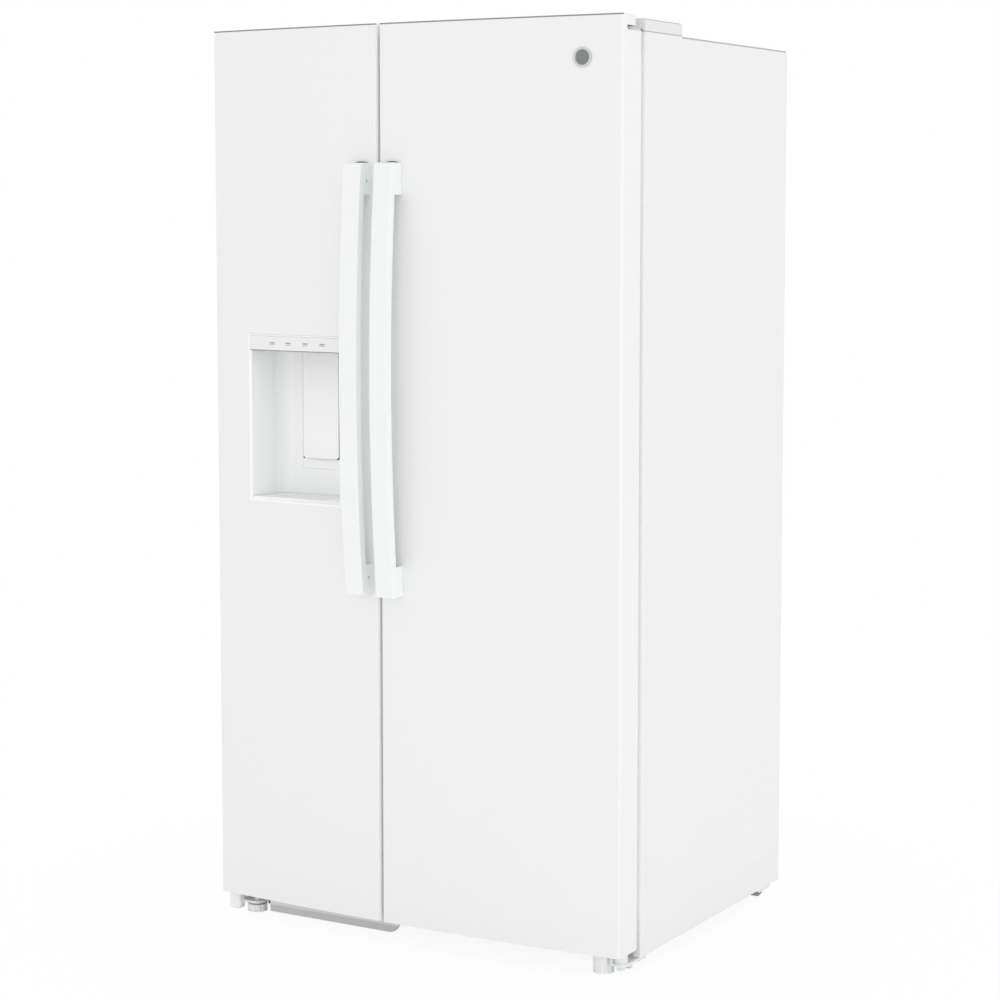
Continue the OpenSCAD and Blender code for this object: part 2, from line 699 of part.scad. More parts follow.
module icemaker_shutoff_arm() color(steel) at_face() {
    y = shelf_y+40;
    rod_y(arm_pivot[0], [y-8, y+26], arm_pivot[1], 3);
    rod_x([arm_pivot[0]-2, arm_pivot[0]+26], y-6, arm_pivot[1], 2.4);
    rod_y(arm_pivot[0]+26, [y-8.4, y+180], arm_pivot[1], 2.4);
    rod_z(arm_pivot[0]+26, y+178, [arm_pivot[1]-44, arm_pivot[1]+2], 2.4);
}

// side view of the spout; t draws its upper and lower wall in and opens both ends
function spout_outline(t) = [[dyke_y+4-t, chute_z[0]-4+t], [dyke_y+4-t, chute_z[1]-t],
    [bucket_y[0]+10+t, bucket_z[0]+1+t], [bucket_y[0]+66-t, bucket_z[0]+1+t]];
module ice_bucket() color([0.88, 0.9, 0.91]) at_face() difference() {
    union() {
        tub(bucket_x, bucket_y, bucket_z, bin_t, 14);
        // trough for the auger
        along_y(grow(bucket_y, -1)) difference() {
            rect([auger_x-38, auger_x+38], [bucket_z[0]+1, bucket_z[0]+30]);
            translate([auger_x, auger_z]) circle(r = 33);
        }
        // spout that leads the ice forward to the chute in the door
        along_x([auger_x-28-bin_t, auger_x+28+bin_t]) polygon(spout_outline(0));
        // rim that hangs on the liner's ledges
        along_z([bucket_z[1]-lip_t, bucket_z[1]]) difference() {
            round_rect(grow(bucket_x, ledge_w), bucket_y, 14);
            round_rect(grow(bucket_x, -bin_t), grow(bucket_y, -bin_t), 12);
        }
    }
    // outlet to the spout and bore for the drive
    box([auger_x-28, auger_x+28], [bucket_y[0]+14, bucket_y[0]+62], [bucket_z[0]-1, auger_z-14]);
    along_x([auger_x-28, auger_x+28]) polygon(spout_outline(bin_t));
    rod_y(auger_x, [bucket_y[1]-40, bucket_y[1]+1], auger_z, 9);
}

auger_y = [bucket_y[0]+8, bucket_y[1]-6];
auger_end = bucket_y[1]+16;                  // where the auger meets its drive
auger_steps = 16*6;                          // 16 stations a turn, 6 turns
flight_r = [4.6, 27];
flight_t = 3;
// four corners of the flight at station i
function flight(i) = let (a = i*360/16, y = auger_y[0]+6+(auger_y[1]-auger_y[0]-20)*i/auger_steps)
    [for (k = [[flight_r[0], 0], [flight_r[1], 0], [flight_r[1], flight_t], [flight_r[0], flight_t]])
        [auger_x+k[0]*cos(a), y+k[1], auger_z+k[0]*sin(a)]];
function strip_faces(n) = concat([[0, 1, 2, 3]], [[4*n+3, 4*n+2, 4*n+1, 4*n]],
    [for (i = [0:n-1], k = [0:3]) let (a = 4*i+k, b = 4*i+(k+1)%4) each
        [[b, a, a+4], [b, a+4, b+4]]]);
module ice_auger() color(steel) at_face() {
    rod_y(auger_x, [auger_y[0], auger_end-fit], auger_z, 5);
    polyhedron(points = [for (i = [0:auger_steps]) each flight(i)],
        faces = strip_faces(auger_steps), convexity = 10);
}

// evaporator behind its cover, with fan motor and bucket drive motor
evap_y = cavity_back - 62;
evap_fan_z = 1120;
evap_x = (fz[0]+fz[1])/2;
module evaporator_cover() color(white) at_face() difference() {
    box(grow(fz, -1), [evap_y-2.5, evap_y], [step_top+0.3, maker_z+20]);
    along_y([evap_y-3, evap_y+1]) {
        for (k = [0:5]) round_rect([evap_x-100, evap_x+100], [290+k*14, 297+k*14], 3.4);
        translate([evap_x, evap_fan_z]) difference() {
            circle(r = 52);
            for (a = [0, 60, 120]) rotate(a) square([120, 4], center = true);
            circle(r = 20);
        }
        translate([auger_x, auger_z]) circle(r = 14);
    }
}
module evaporator_coil() color([0.8, 0.82, 0.84]) at_face() {
    x = grow(fz, -34);
    for (j = [0:11]) let (z = 400+j*50) {
        rod_x(x, evap_y+30, z, 4);
        if (j < 11) translate([x[j%2], evap_y+30, z+25]) rotate([90, 0, 0])
            rotate([0, 0, j%2 == 0 ? 90 : -90]) rotate_extrude(angle = 180)
                translate([25, 0]) circle(r = 4, $fn = 24);
    }
    for (i = [0:11]) box([x[0]+6+i*(x[1]-x[0]-12)/11-0.4, x[0]+6+i*(x[1]-x[0]-12)/11+0.4],
        [evap_y+8, evap_y+52], [385, 965]);
    // hangers to the rear wall
    for (xx = [x[0]+20, x[1]-20]) box([xx-5, xx+5], [evap_y+26, cavity_back], [640, 648]);
}
module freezer_motors() color(dark) at_face() {
    // evaporator fan motor on its bracket
    rod_y(evap_x, [evap_y+32, evap_y+56], evap_fan_z, 20);
    rod_y(evap_x, [evap_y+8, evap_y+40], evap_fan_z, 2.5);
    box([evap_x-60, evap_x+60], [evap_y+50, cavity_back], [evap_fan_z-8, evap_fan_z+8]);
    // drive motor of the ice auger, on the cover
    box([auger_x-42, auger_x+42], [evap_y-62, evap_y-2.5], [auger_z-34, auger_z+44]);
    rod_y(auger_x, [auger_end, evap_y-60], auger_z, 8);
}
module evaporator_fan() color([0.35, 0.36, 0.38]) at_face()
    translate([evap_x, evap_y+24, evap_fan_z]) rotate([90, 0, 0])
        fan(46, 12, 5, 30, 14, 2.5+pin_play);

// ---- fresh food compartment ----------------------------------------------------------------
shelf_x = grow(ff, -3);
shelf_run = [shelf_y, cavity_back-12];
module shelf_rim(z) difference() {
    box(shelf_x, shelf_run, [z, z+frame_h]);
    box(grow(shelf_x, -12), grow(shelf_run, -16), [z-1, z+frame_h+1]);
    box(grow(shelf_x, -6), grow(shelf_run, -8), [z+frame_h-glass_t, z+frame_h+1]);
}
module shelf_frames() color(white) at_face() for (z = fresh_levels) shelf_rim(z+fit/2);
module glass_shelves() color(glass_c) at_face() for (z = fresh_levels)
    box(grow(shelf_x, -6.2), grow(shelf_run, -8.2),
        [z+fit/2+frame_h-glass_t, z+fit/2+frame_h]);

drawer_x = grow(ff, -drawer_play-ledge_w);
module drawer(y, z) {
    difference() {
        tub(drawer_x, y, z, bin_t, 14);
        // inside of the front is left thick above for the finger pull
        box(grow(drawer_x, -90), [y[0]-1, y[0]+1.2], [z[1]-30, z[1]-12]);
    }
    // side lips that run on the liner's ledges
    for (k = [[drawer_x[0]-ledge_w, drawer_x[0]+1], [drawer_x[1]-1, drawer_x[1]+ledge_w]])
        box(k, [y[0]+20, y[1]-14], [z[1]-lip_t, z[1]]);
}
crisper_low_z = [cavity_floor+12, step_top-14];
crisper_up_z = [step_top+6, fresh_levels[0]-6];
snack_z = [fresh_levels[1]-112, fresh_levels[1]-6];
module crisper_lower() color(glass_c) at_face()
    drawer([drawer_y, step_front-8], crisper_low_z);
module crisper_upper() color(glass_c) at_face() difference() {
    drawer([drawer_y, cavity_back-20], crisper_up_z);
    // slot that the humidity slider covers
    box([slider_x-46, slider_x+46], [drawer_y-1, drawer_y+bin_t+1],
        [crisper_up_z[1]-52, crisper_up_z[1]-44]);
}
module snack_pan() color(glass_c) at_face() drawer([drawer_y, cavity_back-120], snack_z);
slider_x = (ff[0]+ff[1])/2;
module humidity_slider() color(white) at_face() {
    z = crisper_up_z[1]-48;
    box([slider_x-70, slider_x-8], [drawer_y-fit-2, drawer_y-fit], [z-8, z+8]);
    box([slider_x-46, slider_x-32], [drawer_y-fit-8, drawer_y-fit-1], [z-5, z+5]);
    box([slider_x-43, slider_x-37], [drawer_y-fit-1, drawer_y+bin_t+3], [z-3, z+3]);
    box([slider_x-47, slider_x-33], [drawer_y+bin_t+fit, drawer_y+bin_t+3], [z-7, z+7]);
}

// control box under the ceiling, with lamp lens and the head of the water filter
filter_c = [ff[1]-52, cavity_top-62];
module control_housing() color(white) at_face() {
    y = [shelf_y, shelf_y+250];
    difference() {
        along_x([ff[0]+26, ff[1]-108]) polygon([[y[0], cavity_top], [y[0], cavity_top-34],
            [y[0]+14, cavity_top-52], [y[1], cavity_top-52], [y[1], cavity_top]]);
        // lamp window in the underside
        box([ff[0]+60, ff[1]-150], [y[0]+110, y[1]-20], [cavity_top-54, cavity_top-46]);
    }
    box([ff[0]+60.3, ff[1]-150.3], [y[0]+110.3, y[1]-20.3], [cavity_top-50, cavity_top-46]);
    // two thermostat wheels stand in the front face
    for (x = [ff[0]+110, ff[0]+200]) rod_x([x, x+14], y[0]+14, cavity_top-30, 17);
    // filter head with a blind bore that takes the cartridge's neck
    difference() {
        box([filter_c[0]-40, filter_c[0]+34], [y[0]+150, y[0]+220], [cavity_top-106, cavity_top]);
        rod_y(filter_c[0], [y[0]+149, y[0]+186], filter_c[1], 22+pin_play);
    }
}
module water_filter() color(white) at_face() {
    y = [shelf_y+8, shelf_y+150-fit];
    rod_y(filter_c[0], y, filter_c[1], 34);
    rod_y(filter_c[0], [y[1]-1, y[1]+34], filter_c[1], 22);
    // grip across the cartridge's end
    along_y([y[0]-10, y[0]+1]) translate(filter_c) round_rect([-28, 28], [-6, 6], 5.9);
}

// ---- doors ---------------------------------------------------------------------------------
// Plan of a door, drawn in x and y: bowed front, rounded front corners, rounded heel at the
// hinge (side -1 is left, 1 is right). s draws the outline in by a wall thickness.
module door_plan(x, side, s = 0) {
    a = grow(x, -s);
    b = door_t - s;
    r = corner_r - s;
    big = bow_r - s;
    // centre of a corner whose round starts where the bowed front ends
    function corner_y(cx) = bow_r - bow - sqrt(big*big - cx*cx) + r;
    xl = a[0]+r;
    xr = a[1]-r;
    heel = heel_r - s;
    hx = side > 0 ? a[1] : a[0];
    difference() {
        union() {
            intersection() {
                translate([0, bow_r-bow]) circle(r = big, $fn = bow_fn);
                rect([xl, xr], [-bow-1, b]);
            }
            rect([a[0], xl+1], [corner_y(xl), b]);
            rect([xr-1, a[1]], [corner_y(xr), b]);
            translate([xl, corner_y(xl)]) circle(r = r);
            translate([xr, corner_y(xr)]) circle(r = r);
        }
        difference() {
            translate([hx-heel, b-heel]) square(2*heel);
            translate([hx-side*heel, b-heel]) circle(r = heel);
            rect(side > 0 ? [hx-heel-1, hx-heel] : [hx+heel, hx+heel+1], [b-heel, b+1]);
        }
    }
}
// room that the upper hinge arm needs in the door's top rear corner
module hinge_notch(side) {
    z = case_top - 1;
    x = pin_x - arm_r - 4;
    mirror([side > 0 ? 0 : 1, 0, 0]) {
        box([x, half_w+1], [46, door_t+1], [z, door_top+1]);
        box([x, half_w+1], [15, door_t+1], [z, case_top+7]);
    }
}
module pin_bores(side) translate([side*pin_x, pin_back, 0]) {
    translate([0, 0, case_top-26]) cylinder(r = pin_r+pin_play, h = 30);
    translate([0, 0, door_low-1]) cylinder(r = pin_r+pin_play, h = 25);
}
module door_skin(x, side) difference() {
    along_z([door_low, door_top]) difference() {
        door_plan(x, side);
        door_plan(x, side, skin_t);
    }
    box(grow(x, -return_w), [door_t-2*skin_t, door_t+1], [door_low-1, door_top+1]);
    hinge_notch(side);
}
module door_caps(x, side) difference() {
    for (z = [[door_low, door_low+cap_low_h], [door_top-cap_top_h, door_top]])
        along_z(z) door_plan(x, side, skin_t);
    hinge_notch(side);
    pin_bores(side);
    // chamfer under the heel of the door
    translate([side*half_w, door_t, door_low]) rotate([45, 0, 0]) cube([120, 14, 14], center = true);
}
// Inner side of a door: ridge ring that stands into the compartment. d is how far the form
// is drawn in, so the liner is one form less the next.
module door_ridges(x, side, d, h = dyke_d) {
    gaps = side > 0 ? [dyke_gap_free, dyke_gap_hinge] : [dyke_gap_hinge, dyke_gap_free];
    rx = [x[0]+gaps[0]+d, x[1]-gaps[1]-d];
    rz = grow([cavity_floor+8, cavity_top-8], -d);
    along_y([door_t-2*liner_t, door_t+h-d]) difference() {
        round_rect(rx, rz, 12);
        round_rect(grow(rx, -dyke_w+2*d), grow(rz, -dyke_w+2*d), 10);
    }
}
module door_liner_plate(x) box(grow(x, -return_w-fit), [door_t-liner_t, door_t],
    [door_low+cap_low_h+fit, door_top-cap_top_h-fit]);
module door_foam(x, side) along_z([door_low+cap_low_h, door_top-cap_top_h])
    intersection() {
        door_plan(x, side, skin_t);
        rect(x, [-bow-1, door_t-liner_t]);
    }
module gasket(x) {
    z = [door_low+cap_low_h+12, door_top-cap_top_h-2];
    w = gasket_inset;
    along_y([door_t, case_front-fit]) difference() {
        round_rect(grow(x, -w), z, 8);
        round_rect(grow(x, -w-gasket_w), grow(z, -gasket_w), 4);
    }
}
// side is the door's side of the cabinet, so the set screws go in from the gap
module handle(x0, side) {
    // side view in y and z: an outer and an inner arc, with a foot at each end
    zc = handle_low + handle_l/2;
    sag = handle_reach - handle_end_reach;
    h = handle_l/2;
    big = (h*h + sag*sag)/(2*sag);
    open_h = h - handle_foot;
    nose = handle_nose;
    lean = h/sqrt(big*big-h*h);              // slope of the outer arc at its ends
    difference() {
        along_x([x0, x0+handle_w]) difference() {
            intersection() {
                translate([-bow-handle_reach+big, zc]) circle(r = big, $fn = 1500);
                rect([-bow-handle_reach, 0], [zc-h, zc+h]);
            }
            // rounded outer edge at both ends
            for (s = [-1, 1]) translate([-bow-handle_end_reach, zc+s*h]) difference() {
                rect([-nose, nose*(1-lean)], [-nose, nose]);
                translate([nose*(1-lean), -s*nose]) circle(r = nose);
            }
            // finger opening between grip and door
            intersection() {
                translate([-bow-handle_reach+big, zc]) circle(r = big-grip_t, $fn = 1500);
                rect([-bow-handle_reach, 1], [zc-open_h, zc+open_h]);
            }
        }
        // back of the feet follows the door's bow
        along_z(grow([zc-h, zc+h], 1)) translate([0, bow_r-bow]) circle(r = bow_r+0.05, $fn = bow_fn);
        // blind set screw bores from the gap side
        for (s = [-1, 1]) rod_x(side < 0 ? [x0+handle_w-7, x0+handle_w+1] : [x0-1, x0+7],
            -bow-14, zc+s*(h-screw_in), screw_r);
    }
}

module freezer_door_skin() color(white) at_face() difference() {
    door_skin(fz_door, -1);
    box(disp_x, [-bow-1, 30], disp_z);
}
module fresh_door_skin() color(white) at_face() door_skin(ff_door, 1);
module freezer_door_caps() color(white) at_face() door_caps(fz_door, -1);
module fresh_door_caps() color(white) at_face() door_caps(ff_door, 1);
module freezer_door_gasket() color([0.85, 0.86, 0.86]) at_face() gasket(fz_door);
module fresh_door_gasket() color([0.85, 0.86, 0.86]) at_face() gasket(ff_door);
module freezer_handle() color(white) at_face()
    handle(fz_door[1]-handle_inset-handle_w, -1);
module fresh_handle() color(white) at_face() handle(ff_door[0]+handle_inset, 1);

// ---- dispenser -----------------------------------------------------------------------------
disp_x = [-disp_left, -disp_left+disp_w];
disp_z = [disp_low, disp_low+disp_h];
open_x = grow(disp_x, -bezel_w);
floor_z = disp_low + bezel_w;                // floor of the recess
strip_z = [ceiling_z-strip_h, ceiling_z-fit];
disp_c = (disp_x[0]+disp_x[1])/2;
pocket_y = recess_back + 20;                 // room for the paddle's travel
pocket_x = [disp_c-paddle_w/2-5, disp_c+paddle_w/2+5];
chute_x = [disp_c-chute_w/2, disp_c+chute_w/2];
chute_y = [24, 64];
bulge_x = [disp_x[0]+14, disp_x[1]-14];
bulge_z = [disp_low-14, chute_z[1]+20];
module recess_plan(d) {
    x = grow(open_x, d);
    b = recess_back + d;
    r = recess_r + d;
    polygon(concat([[x[0], -bow-1]],
        arc([x[0]+recess_taper+r, b-r], r, 180, 90, 10),
        arc([x[1]-recess_taper-r, b-r], r, 90, 0, 10), [[x[1], -bow-1]]));
}
module chute(d) {
    box(grow(chute_x, d), grow(chute_y, d), [ceiling_z-(d > 0 ? 1 : housing_t+1), chute_z[1]+d]);
    box(grow(chute_x, d), [chute_y[0]-d, dyke_y-liner_t], grow(chute_z, d));
}
module pocket(d) box(grow(pocket_x, d), [recess_back-4, pocket_y+d],
    grow([floor_z+paddle_low-8, ceiling_z-3], d));
// block between two edges whose front follows the doors' bow, drawn with short straight runs
module door_front(x, y, z) along_z(z) polygon(concat([[x[1], y], [x[0], y]],
    [for (i = [0:12]) let (xx = x[0]+(x[1]-x[0])*i/12) [xx, bow_at(xx)]]));
module dispenser_housing() color(white) at_face() difference() {
    union() {
        along_z([floor_z-housing_t, ceiling_z]) intersection() {
            recess_plan(housing_t);
            rect([-body_w, 0], [-2, case_back]);
        }
        pocket(housing_t);
        chute(housing_t);
        // frame flush with the door's bowed front
        door_front(grow(disp_x, -fit), 6, grow(disp_z, -fit));
        // ears that carry the paddle's pivot
        for (s = [-1, 1]) box([disp_c+s*(paddle_w/2+2.5)-1.5, disp_c+s*(paddle_w/2+2.5)+1.5],
            [paddle_y-8, recess_back+1], [paddle_z-8, ceiling_z-1]);
    }
    difference() {
        along_z([floor_z, ceiling_z-housing_t]) intersection() {
            recess_plan(0);
            rect([-body_w, 0], [-bow-2, case_back]);
        }
        for (s = [-1, 1]) box([disp_c+s*(paddle_w/2+2.5)-1.5, disp_c+s*(paddle_w/2+2.5)+1.5],
            [paddle_y-8, recess_back+1], [paddle_z-8, ceiling_z-1]);
    }
    pocket(0);
    chute(0);
    box([chute_x[0], chute_x[1]], [chute_y[0], dyke_y], chute_z);
    rod_x(grow([disp_c, disp_c], paddle_w/2+5), paddle_y, paddle_z, 3+pin_play);
    rod_x(grow(chute_x, 4), chute_y[0]+4, flap_z, 2+pin_play);
    // seat of the control strip
    box(grow(open_x, 0.2), [-bow-2, 14.2], [strip_z[0], strip_z[1]+fit]);
}
module dispenser_controls() color(white) at_face()
    door_front(open_x, 12, strip_z);
module dispenser_tray() color([0.55, 0.57, 0.58]) at_face() difference() {
    along_z([floor_z, floor_z+5]) intersection() {
        recess_plan(-1.5);
        rect([-body_w, 0], [-6, case_back]);
    }
    for (i = [0:8]) let (y = 4+i*7.5) along_z([floor_z+1.5, floor_z+6])
        round_rect([open_x[0]+46, open_x[1]-46], [y, y+4], 1.9);
}
paddle_y = recess_back - 5;
paddle_z = ceiling_z - 20;
module dispenser_paddle() color([0.86, 0.87, 0.87]) at_face() {
    x = [disp_c-paddle_w/2, disp_c+paddle_w/2];
    along_y([paddle_y-paddle_t/2, paddle_y+paddle_t/2])
        round_rect(x, [floor_z+paddle_low, paddle_z+3], 8);
    rod_x(grow(x, 4), paddle_y, paddle_z, 3);
}
flap_z = ceiling_z + 8;
module ice_chute_flap() color(dark) at_face() {
    box(grow(chute_x, -fit*2), [chute_y[0]+4, chute_y[1]-fit*2], [flap_z-1.2, flap_z+1.2]);
    rod_x(grow(chute_x, 2), chute_y[0]+4, flap_z, 2);
}

module dispenser_room() {
    box(grow(disp_x, fit), [-bow-2, 14.5], grow(disp_z, fit));
    box(grow(open_x, housing_t+fit), [0, recess_back+housing_t+fit], disp_z);
    pocket(housing_t+fit);
    chute(housing_t+fit);
}
module bulge(d) box(grow(bulge_x, -d), [door_t-2*liner_t, dyke_y-d], grow(bulge_z, -d));
module freezer_door_insulation() color(foam_c) at_face() difference() {
    union() {
        door_foam(fz_door, -1);
        door_ridges(fz, -1, liner_t);
        bulge(liner_t);
    }
    dispenser_room();
}
module freezer_door_liner() color(white) at_face() difference() {
    union() {
        door_liner_plate(fz_door);
        door_ridges(fz, -1, 0);
        bulge(0);
    }
    door_foam(fz_door, -1);
    door_ridges(fz, -1, liner_t);
    bulge(liner_t);
    box(grow(chute_x, housing_t+fit), [0, dyke_y+1], grow(chute_z, housing_t+fit));
}
module fresh_door_insulation() color(foam_c) at_face() {
    door_foam(ff_door, 1);
    door_ridges(ff, 1, liner_t);
}
module fresh_door_liner() color(white) at_face() difference() {
    union() {
        door_liner_plate(ff_door);
        door_ridges(ff, 1, 0);
    }
    door_foam(ff_door, 1);
    door_ridges(ff, 1, liner_t);
}

// ---- door bins -----------------------------------------------------------------------------
module door_bin(x, z, h, back) {
    tub(x, [door_t+fit, back], [z, z+h], bin_t, 10);
    // hooks over the ridges' buttons
    for (s = [0, 1]) rod_x(s == 0 ? [x[0]-0.7, x[0]+1] : [x[1]-1, x[1]+0.7], door_t+30, z+h/2, 5);
}
fz_bin_x = [fz[0]+dyke_gap_hinge+dyke_w+1, fz[1]-dyke_gap_free-dyke_w-1];
ff_bin_x = [ff[0]+dyke_gap_free+dyke_w+1, ff[1]-dyke_gap_hinge-dyke_w-1];
// two bins below the dispenser, and two spread over the height above it
high_pitch = (cavity_top-8-dyke_w-bulge_z[1])/2;
freezer_bin_z = [shelf_low, shelf_low+shelf_pitch,
    bulge_z[1]+(high_pitch-bin_h)/2, bulge_z[1]+(3*high_pitch-bin_h)/2];
module freezer_door_bins() color(glass_c) at_face()
    for (z = freezer_bin_z) door_bin(fz_bin_x, z, bin_h, bin_back);
// the bins of the fresh food door are spread below the dairy compartment
dairy_z = [cavity_top-84-dairy_h, cavity_top-84];
fresh_bin_z = [for (i = [0:3]) shelf_low + i*(dairy_z[0]-shelf_low)/4];
module fresh_door_bins() color(glass_c) at_face() {
    for (z = fresh_bin_z) door_bin(ff_bin_x, z, bin_h+14, bin_back);
    // dairy compartment: a hood closed by its flap
    difference() {
        box(ff_bin_x, [door_t+fit, bin_back-24], dairy_z);
        box(grow(ff_bin_x, -bin_t), [door_t+fit+bin_t, bin_back], grow(dairy_z, -bin_t));
        rod_x(grow(ff_bin_x, 1), dairy_pin[0], dairy_pin[1], 2.5+pin_play);
    }
}
dairy_pin = [bin_back-30, dairy_z[1]-14];
module dairy_flap() color(glass_c) at_face() {
    x = grow(ff_bin_x, -bin_t-fit*2);
    box(x, [bin_back-23, bin_back-20], [dairy_z[0]-2, dairy_pin[1]+4]);
    for (xx = [x[0], x[1]-4]) box([xx, xx+4], [dairy_pin[0]-4, bin_back-22],
        [dairy_pin[1]-4, dairy_pin[1]+4]);
    rod_x(grow(x, bin_t), dairy_pin[0], dairy_pin[1], 2.5);
}

case_shell();
case_back_panel();
cabinet_insulation();
freezer_liner();
fresh_food_liner();
center_mullion();
base_frame();
machine_cover();
compressor();
condenser_coil();
condenser_fan_motor();
condenser_fan();
drain_pan();
water_valve();
toe_panel();
hinge_brackets();
hinge_covers();
leveling_leg_left();
leveling_leg_right();
rear_roller_left();
rear_roller_right();
freezer_shelves();
freezer_basket();
icemaker_body();
icemaker_rake();
icemaker_shutoff_arm();
ice_bucket();
ice_auger();
freezer_motors();
evaporator_cover();
evaporator_coil();
evaporator_fan();
glass_shelves();
shelf_frames();
crisper_upper();
crisper_lower();
snack_pan();
humidity_slider();
control_housing();
water_filter();
freezer_door_skin();
freezer_door_insulation();
freezer_door_liner();
freezer_door_gasket();
freezer_door_caps();
freezer_handle();
dispenser_housing();
dispenser_controls();
dispenser_tray();
dispenser_paddle();
ice_chute_flap();
freezer_door_bins();
fresh_door_skin();
fresh_door_insulation();
fresh_door_liner();
fresh_door_gasket();
fresh_door_caps();
fresh_handle();
fresh_door_bins();
dairy_flap();
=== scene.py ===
"""Side by side refrigerator: surfaces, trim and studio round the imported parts."""

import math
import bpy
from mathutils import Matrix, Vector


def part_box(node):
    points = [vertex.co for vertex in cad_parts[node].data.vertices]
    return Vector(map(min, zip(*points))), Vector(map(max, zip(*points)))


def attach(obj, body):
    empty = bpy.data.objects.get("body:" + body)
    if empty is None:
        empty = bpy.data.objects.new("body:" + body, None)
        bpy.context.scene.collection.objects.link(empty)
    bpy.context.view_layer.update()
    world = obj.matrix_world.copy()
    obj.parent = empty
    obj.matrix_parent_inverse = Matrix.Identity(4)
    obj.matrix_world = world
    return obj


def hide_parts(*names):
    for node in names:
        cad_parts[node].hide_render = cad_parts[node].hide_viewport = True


bl_info = {
    "name": "Side by Side Refrigerator",
    "version": (1, 0, 0),
    "blender": (4, 5, 0),
    "location": "View3D > Sidebar > Refrigerator",
    "description": "Builds the finished surfaces of a side by side refrigerator",
    "category": "Object",
}

import bmesh
import bpy
from bpy.props import FloatProperty, FloatVectorProperty, IntProperty, PointerProperty
from mathutils import Matrix, Vector

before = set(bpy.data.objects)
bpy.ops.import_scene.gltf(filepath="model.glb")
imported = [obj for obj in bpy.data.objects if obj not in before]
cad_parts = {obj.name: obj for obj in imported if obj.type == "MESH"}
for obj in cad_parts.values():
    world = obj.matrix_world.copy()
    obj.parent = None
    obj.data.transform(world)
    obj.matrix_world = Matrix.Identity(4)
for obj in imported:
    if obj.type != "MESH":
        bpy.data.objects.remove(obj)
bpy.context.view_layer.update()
MM = 0.001

# Corners of the nodes that the new pieces are set against.
CASE_LOW, CASE_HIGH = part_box("case_shell")
CASE_GAP = 84 * MM  # from the doors' front corners back to the cabinet's front
FACE_Y = CASE_LOW.y - CASE_GAP  # plane of the doors' front corners
HALF_WIDTH = CASE_HIGH.x

MERGE = 1e-6  # corners nearer than this are one
LEVEL = 1e-5  # an edge whose ends differ by less is level or square
NEAR = 1e-3  # how far from a plane a corner still counts as on it
OVER = 1 * MM  # how far a cutter passes the face that it opens

# Marks of the control strip: their places along it, then both bars' width, height, rise.
MARK_PLACES_MM = (-311, -271.5, -230, -189)
MARK_BARS_MM = ((12, 2.8, 1.4), (14, 1.0, -2.2))
# Bolt under the right hinge plate: radius, foot and top of its head and of its washer.
BOLT_STEPS_MM = ((6, 3, 14), (9, 13.5, 17.2))

# Studio: camera, what the lamps point at, and each lamp's place and width.
CAMERA_PLACE = (2.4905, -4.2045, 1.4105)
LAMP_AIM = Vector((0, 0, 0.9))
LAMPS = {"key": ((1.2, -4.8, 1.0), 2.0), "fill": ((4.6, -0.2, 1.0), 2.2)}
PAPER = "#FDFDFD"


def srgb(code, alpha=1.0):
    """Linear colour of an sRGB hex value."""
    parts = [int(code[i:i + 2], 16) / 255 for i in (1, 3, 5)]
    linear = [c / 12.92 if c <= 0.04045 else ((c + 0.055) / 1.055) ** 2.4 for c in parts]
    return (*linear, alpha)


def colour_setting(name, description, code):
    return FloatVectorProperty(name=name, description=description, subtype="COLOR",
                               size=4, min=0.0, max=1.0, default=srgb(code))


def length_setting(name, description, metres):
    return FloatProperty(name=name, description=description, default=metres,
                         min=0.0, unit="LENGTH")


class FridgeColours(bpy.types.PropertyGroup):
    """Colours of the finishes."""
    doors: colour_setting("Doors", "Painted steel of the doors", "#F0F0F0")
    cabinet: colour_setting("Cabinet", "Painted steel of the cabinet", "#EDEDED")
    cap: colour_setting("Caps", "Moulded end caps and hinge covers", "#ECECEC")
    edge: colour_setting("Edges", "Shaded seam along the upper edges", "#7E8686")
    handle: colour_setting("Handles", "Moulded handles", "#F4F6F5")
    # whiter than the doors, so that the shaded recess stays light: partly painted light
    dispenser: colour_setting("Dispenser", "Moulded dispenser", "#FAFBFA")
    strip: colour_setting("Control strip", "Moulded control strip", "#EFEFEF")
    icon: colour_setting("Marks", "Printed marks of the control strip", "#A6ABAB")
    badge: colour_setting("Badge", "Satin chrome disc", "#D9DBDB")
    toe: colour_setting("Toe panel", "Moulded toe panel", "#CFD1D1")
    liner: colour_setting("Liners", "Formed plastic liners", "#F1F3F2")
    hardware: colour_setting("Hardware", "Painted hinge plates and rails", "#EDEFEF")
    backdrop: colour_setting("Backdrop", "Studio floor and backdrop", "#FFFFFF")


class FridgeSizes(bpy.types.PropertyGroup):
    """Sizes of the finished pieces."""
    bow: length_setting("Door bow", "How far the doors' front bows out", 18.5 * MM)
    corner: length_setting("Door corner", "Radius of the doors' front corners", 6 * MM)
    heel: length_setting("Door heel", "Radius of the doors' heel", 10 * MM)
    rim: length_setting("Door rim", "Round along the doors' top and foot", 1.6 * MM)
    seam: length_setting("Shadow band", "Height of the painted shadow band under an upper edge", 2.6 * MM)
    grip_round: length_setting("Grip round", "Round along the handles' edges", 5 * MM)
    lever_short: length_setting("Lever end", "Rise of the lever's lower end", 13 * MM)
    groove_shadow: length_setting("Groove shadow", "Height of the painted shadow line under the strip", 1.6 * MM)
    badge_radius: length_setting("Badge radius", "Radius of the round badge", 18 * MM)
    badge_x: length_setting("Badge from edge", "From the door's outer edge", 79.4 * MM)
    badge_drop: length_setting("Badge drop", "From the door's top to the badge", 76 * MM)
    bow_steps: IntProperty(name="Bow steps", description="Strips across a door",
                           default=40, min=8, max=120)


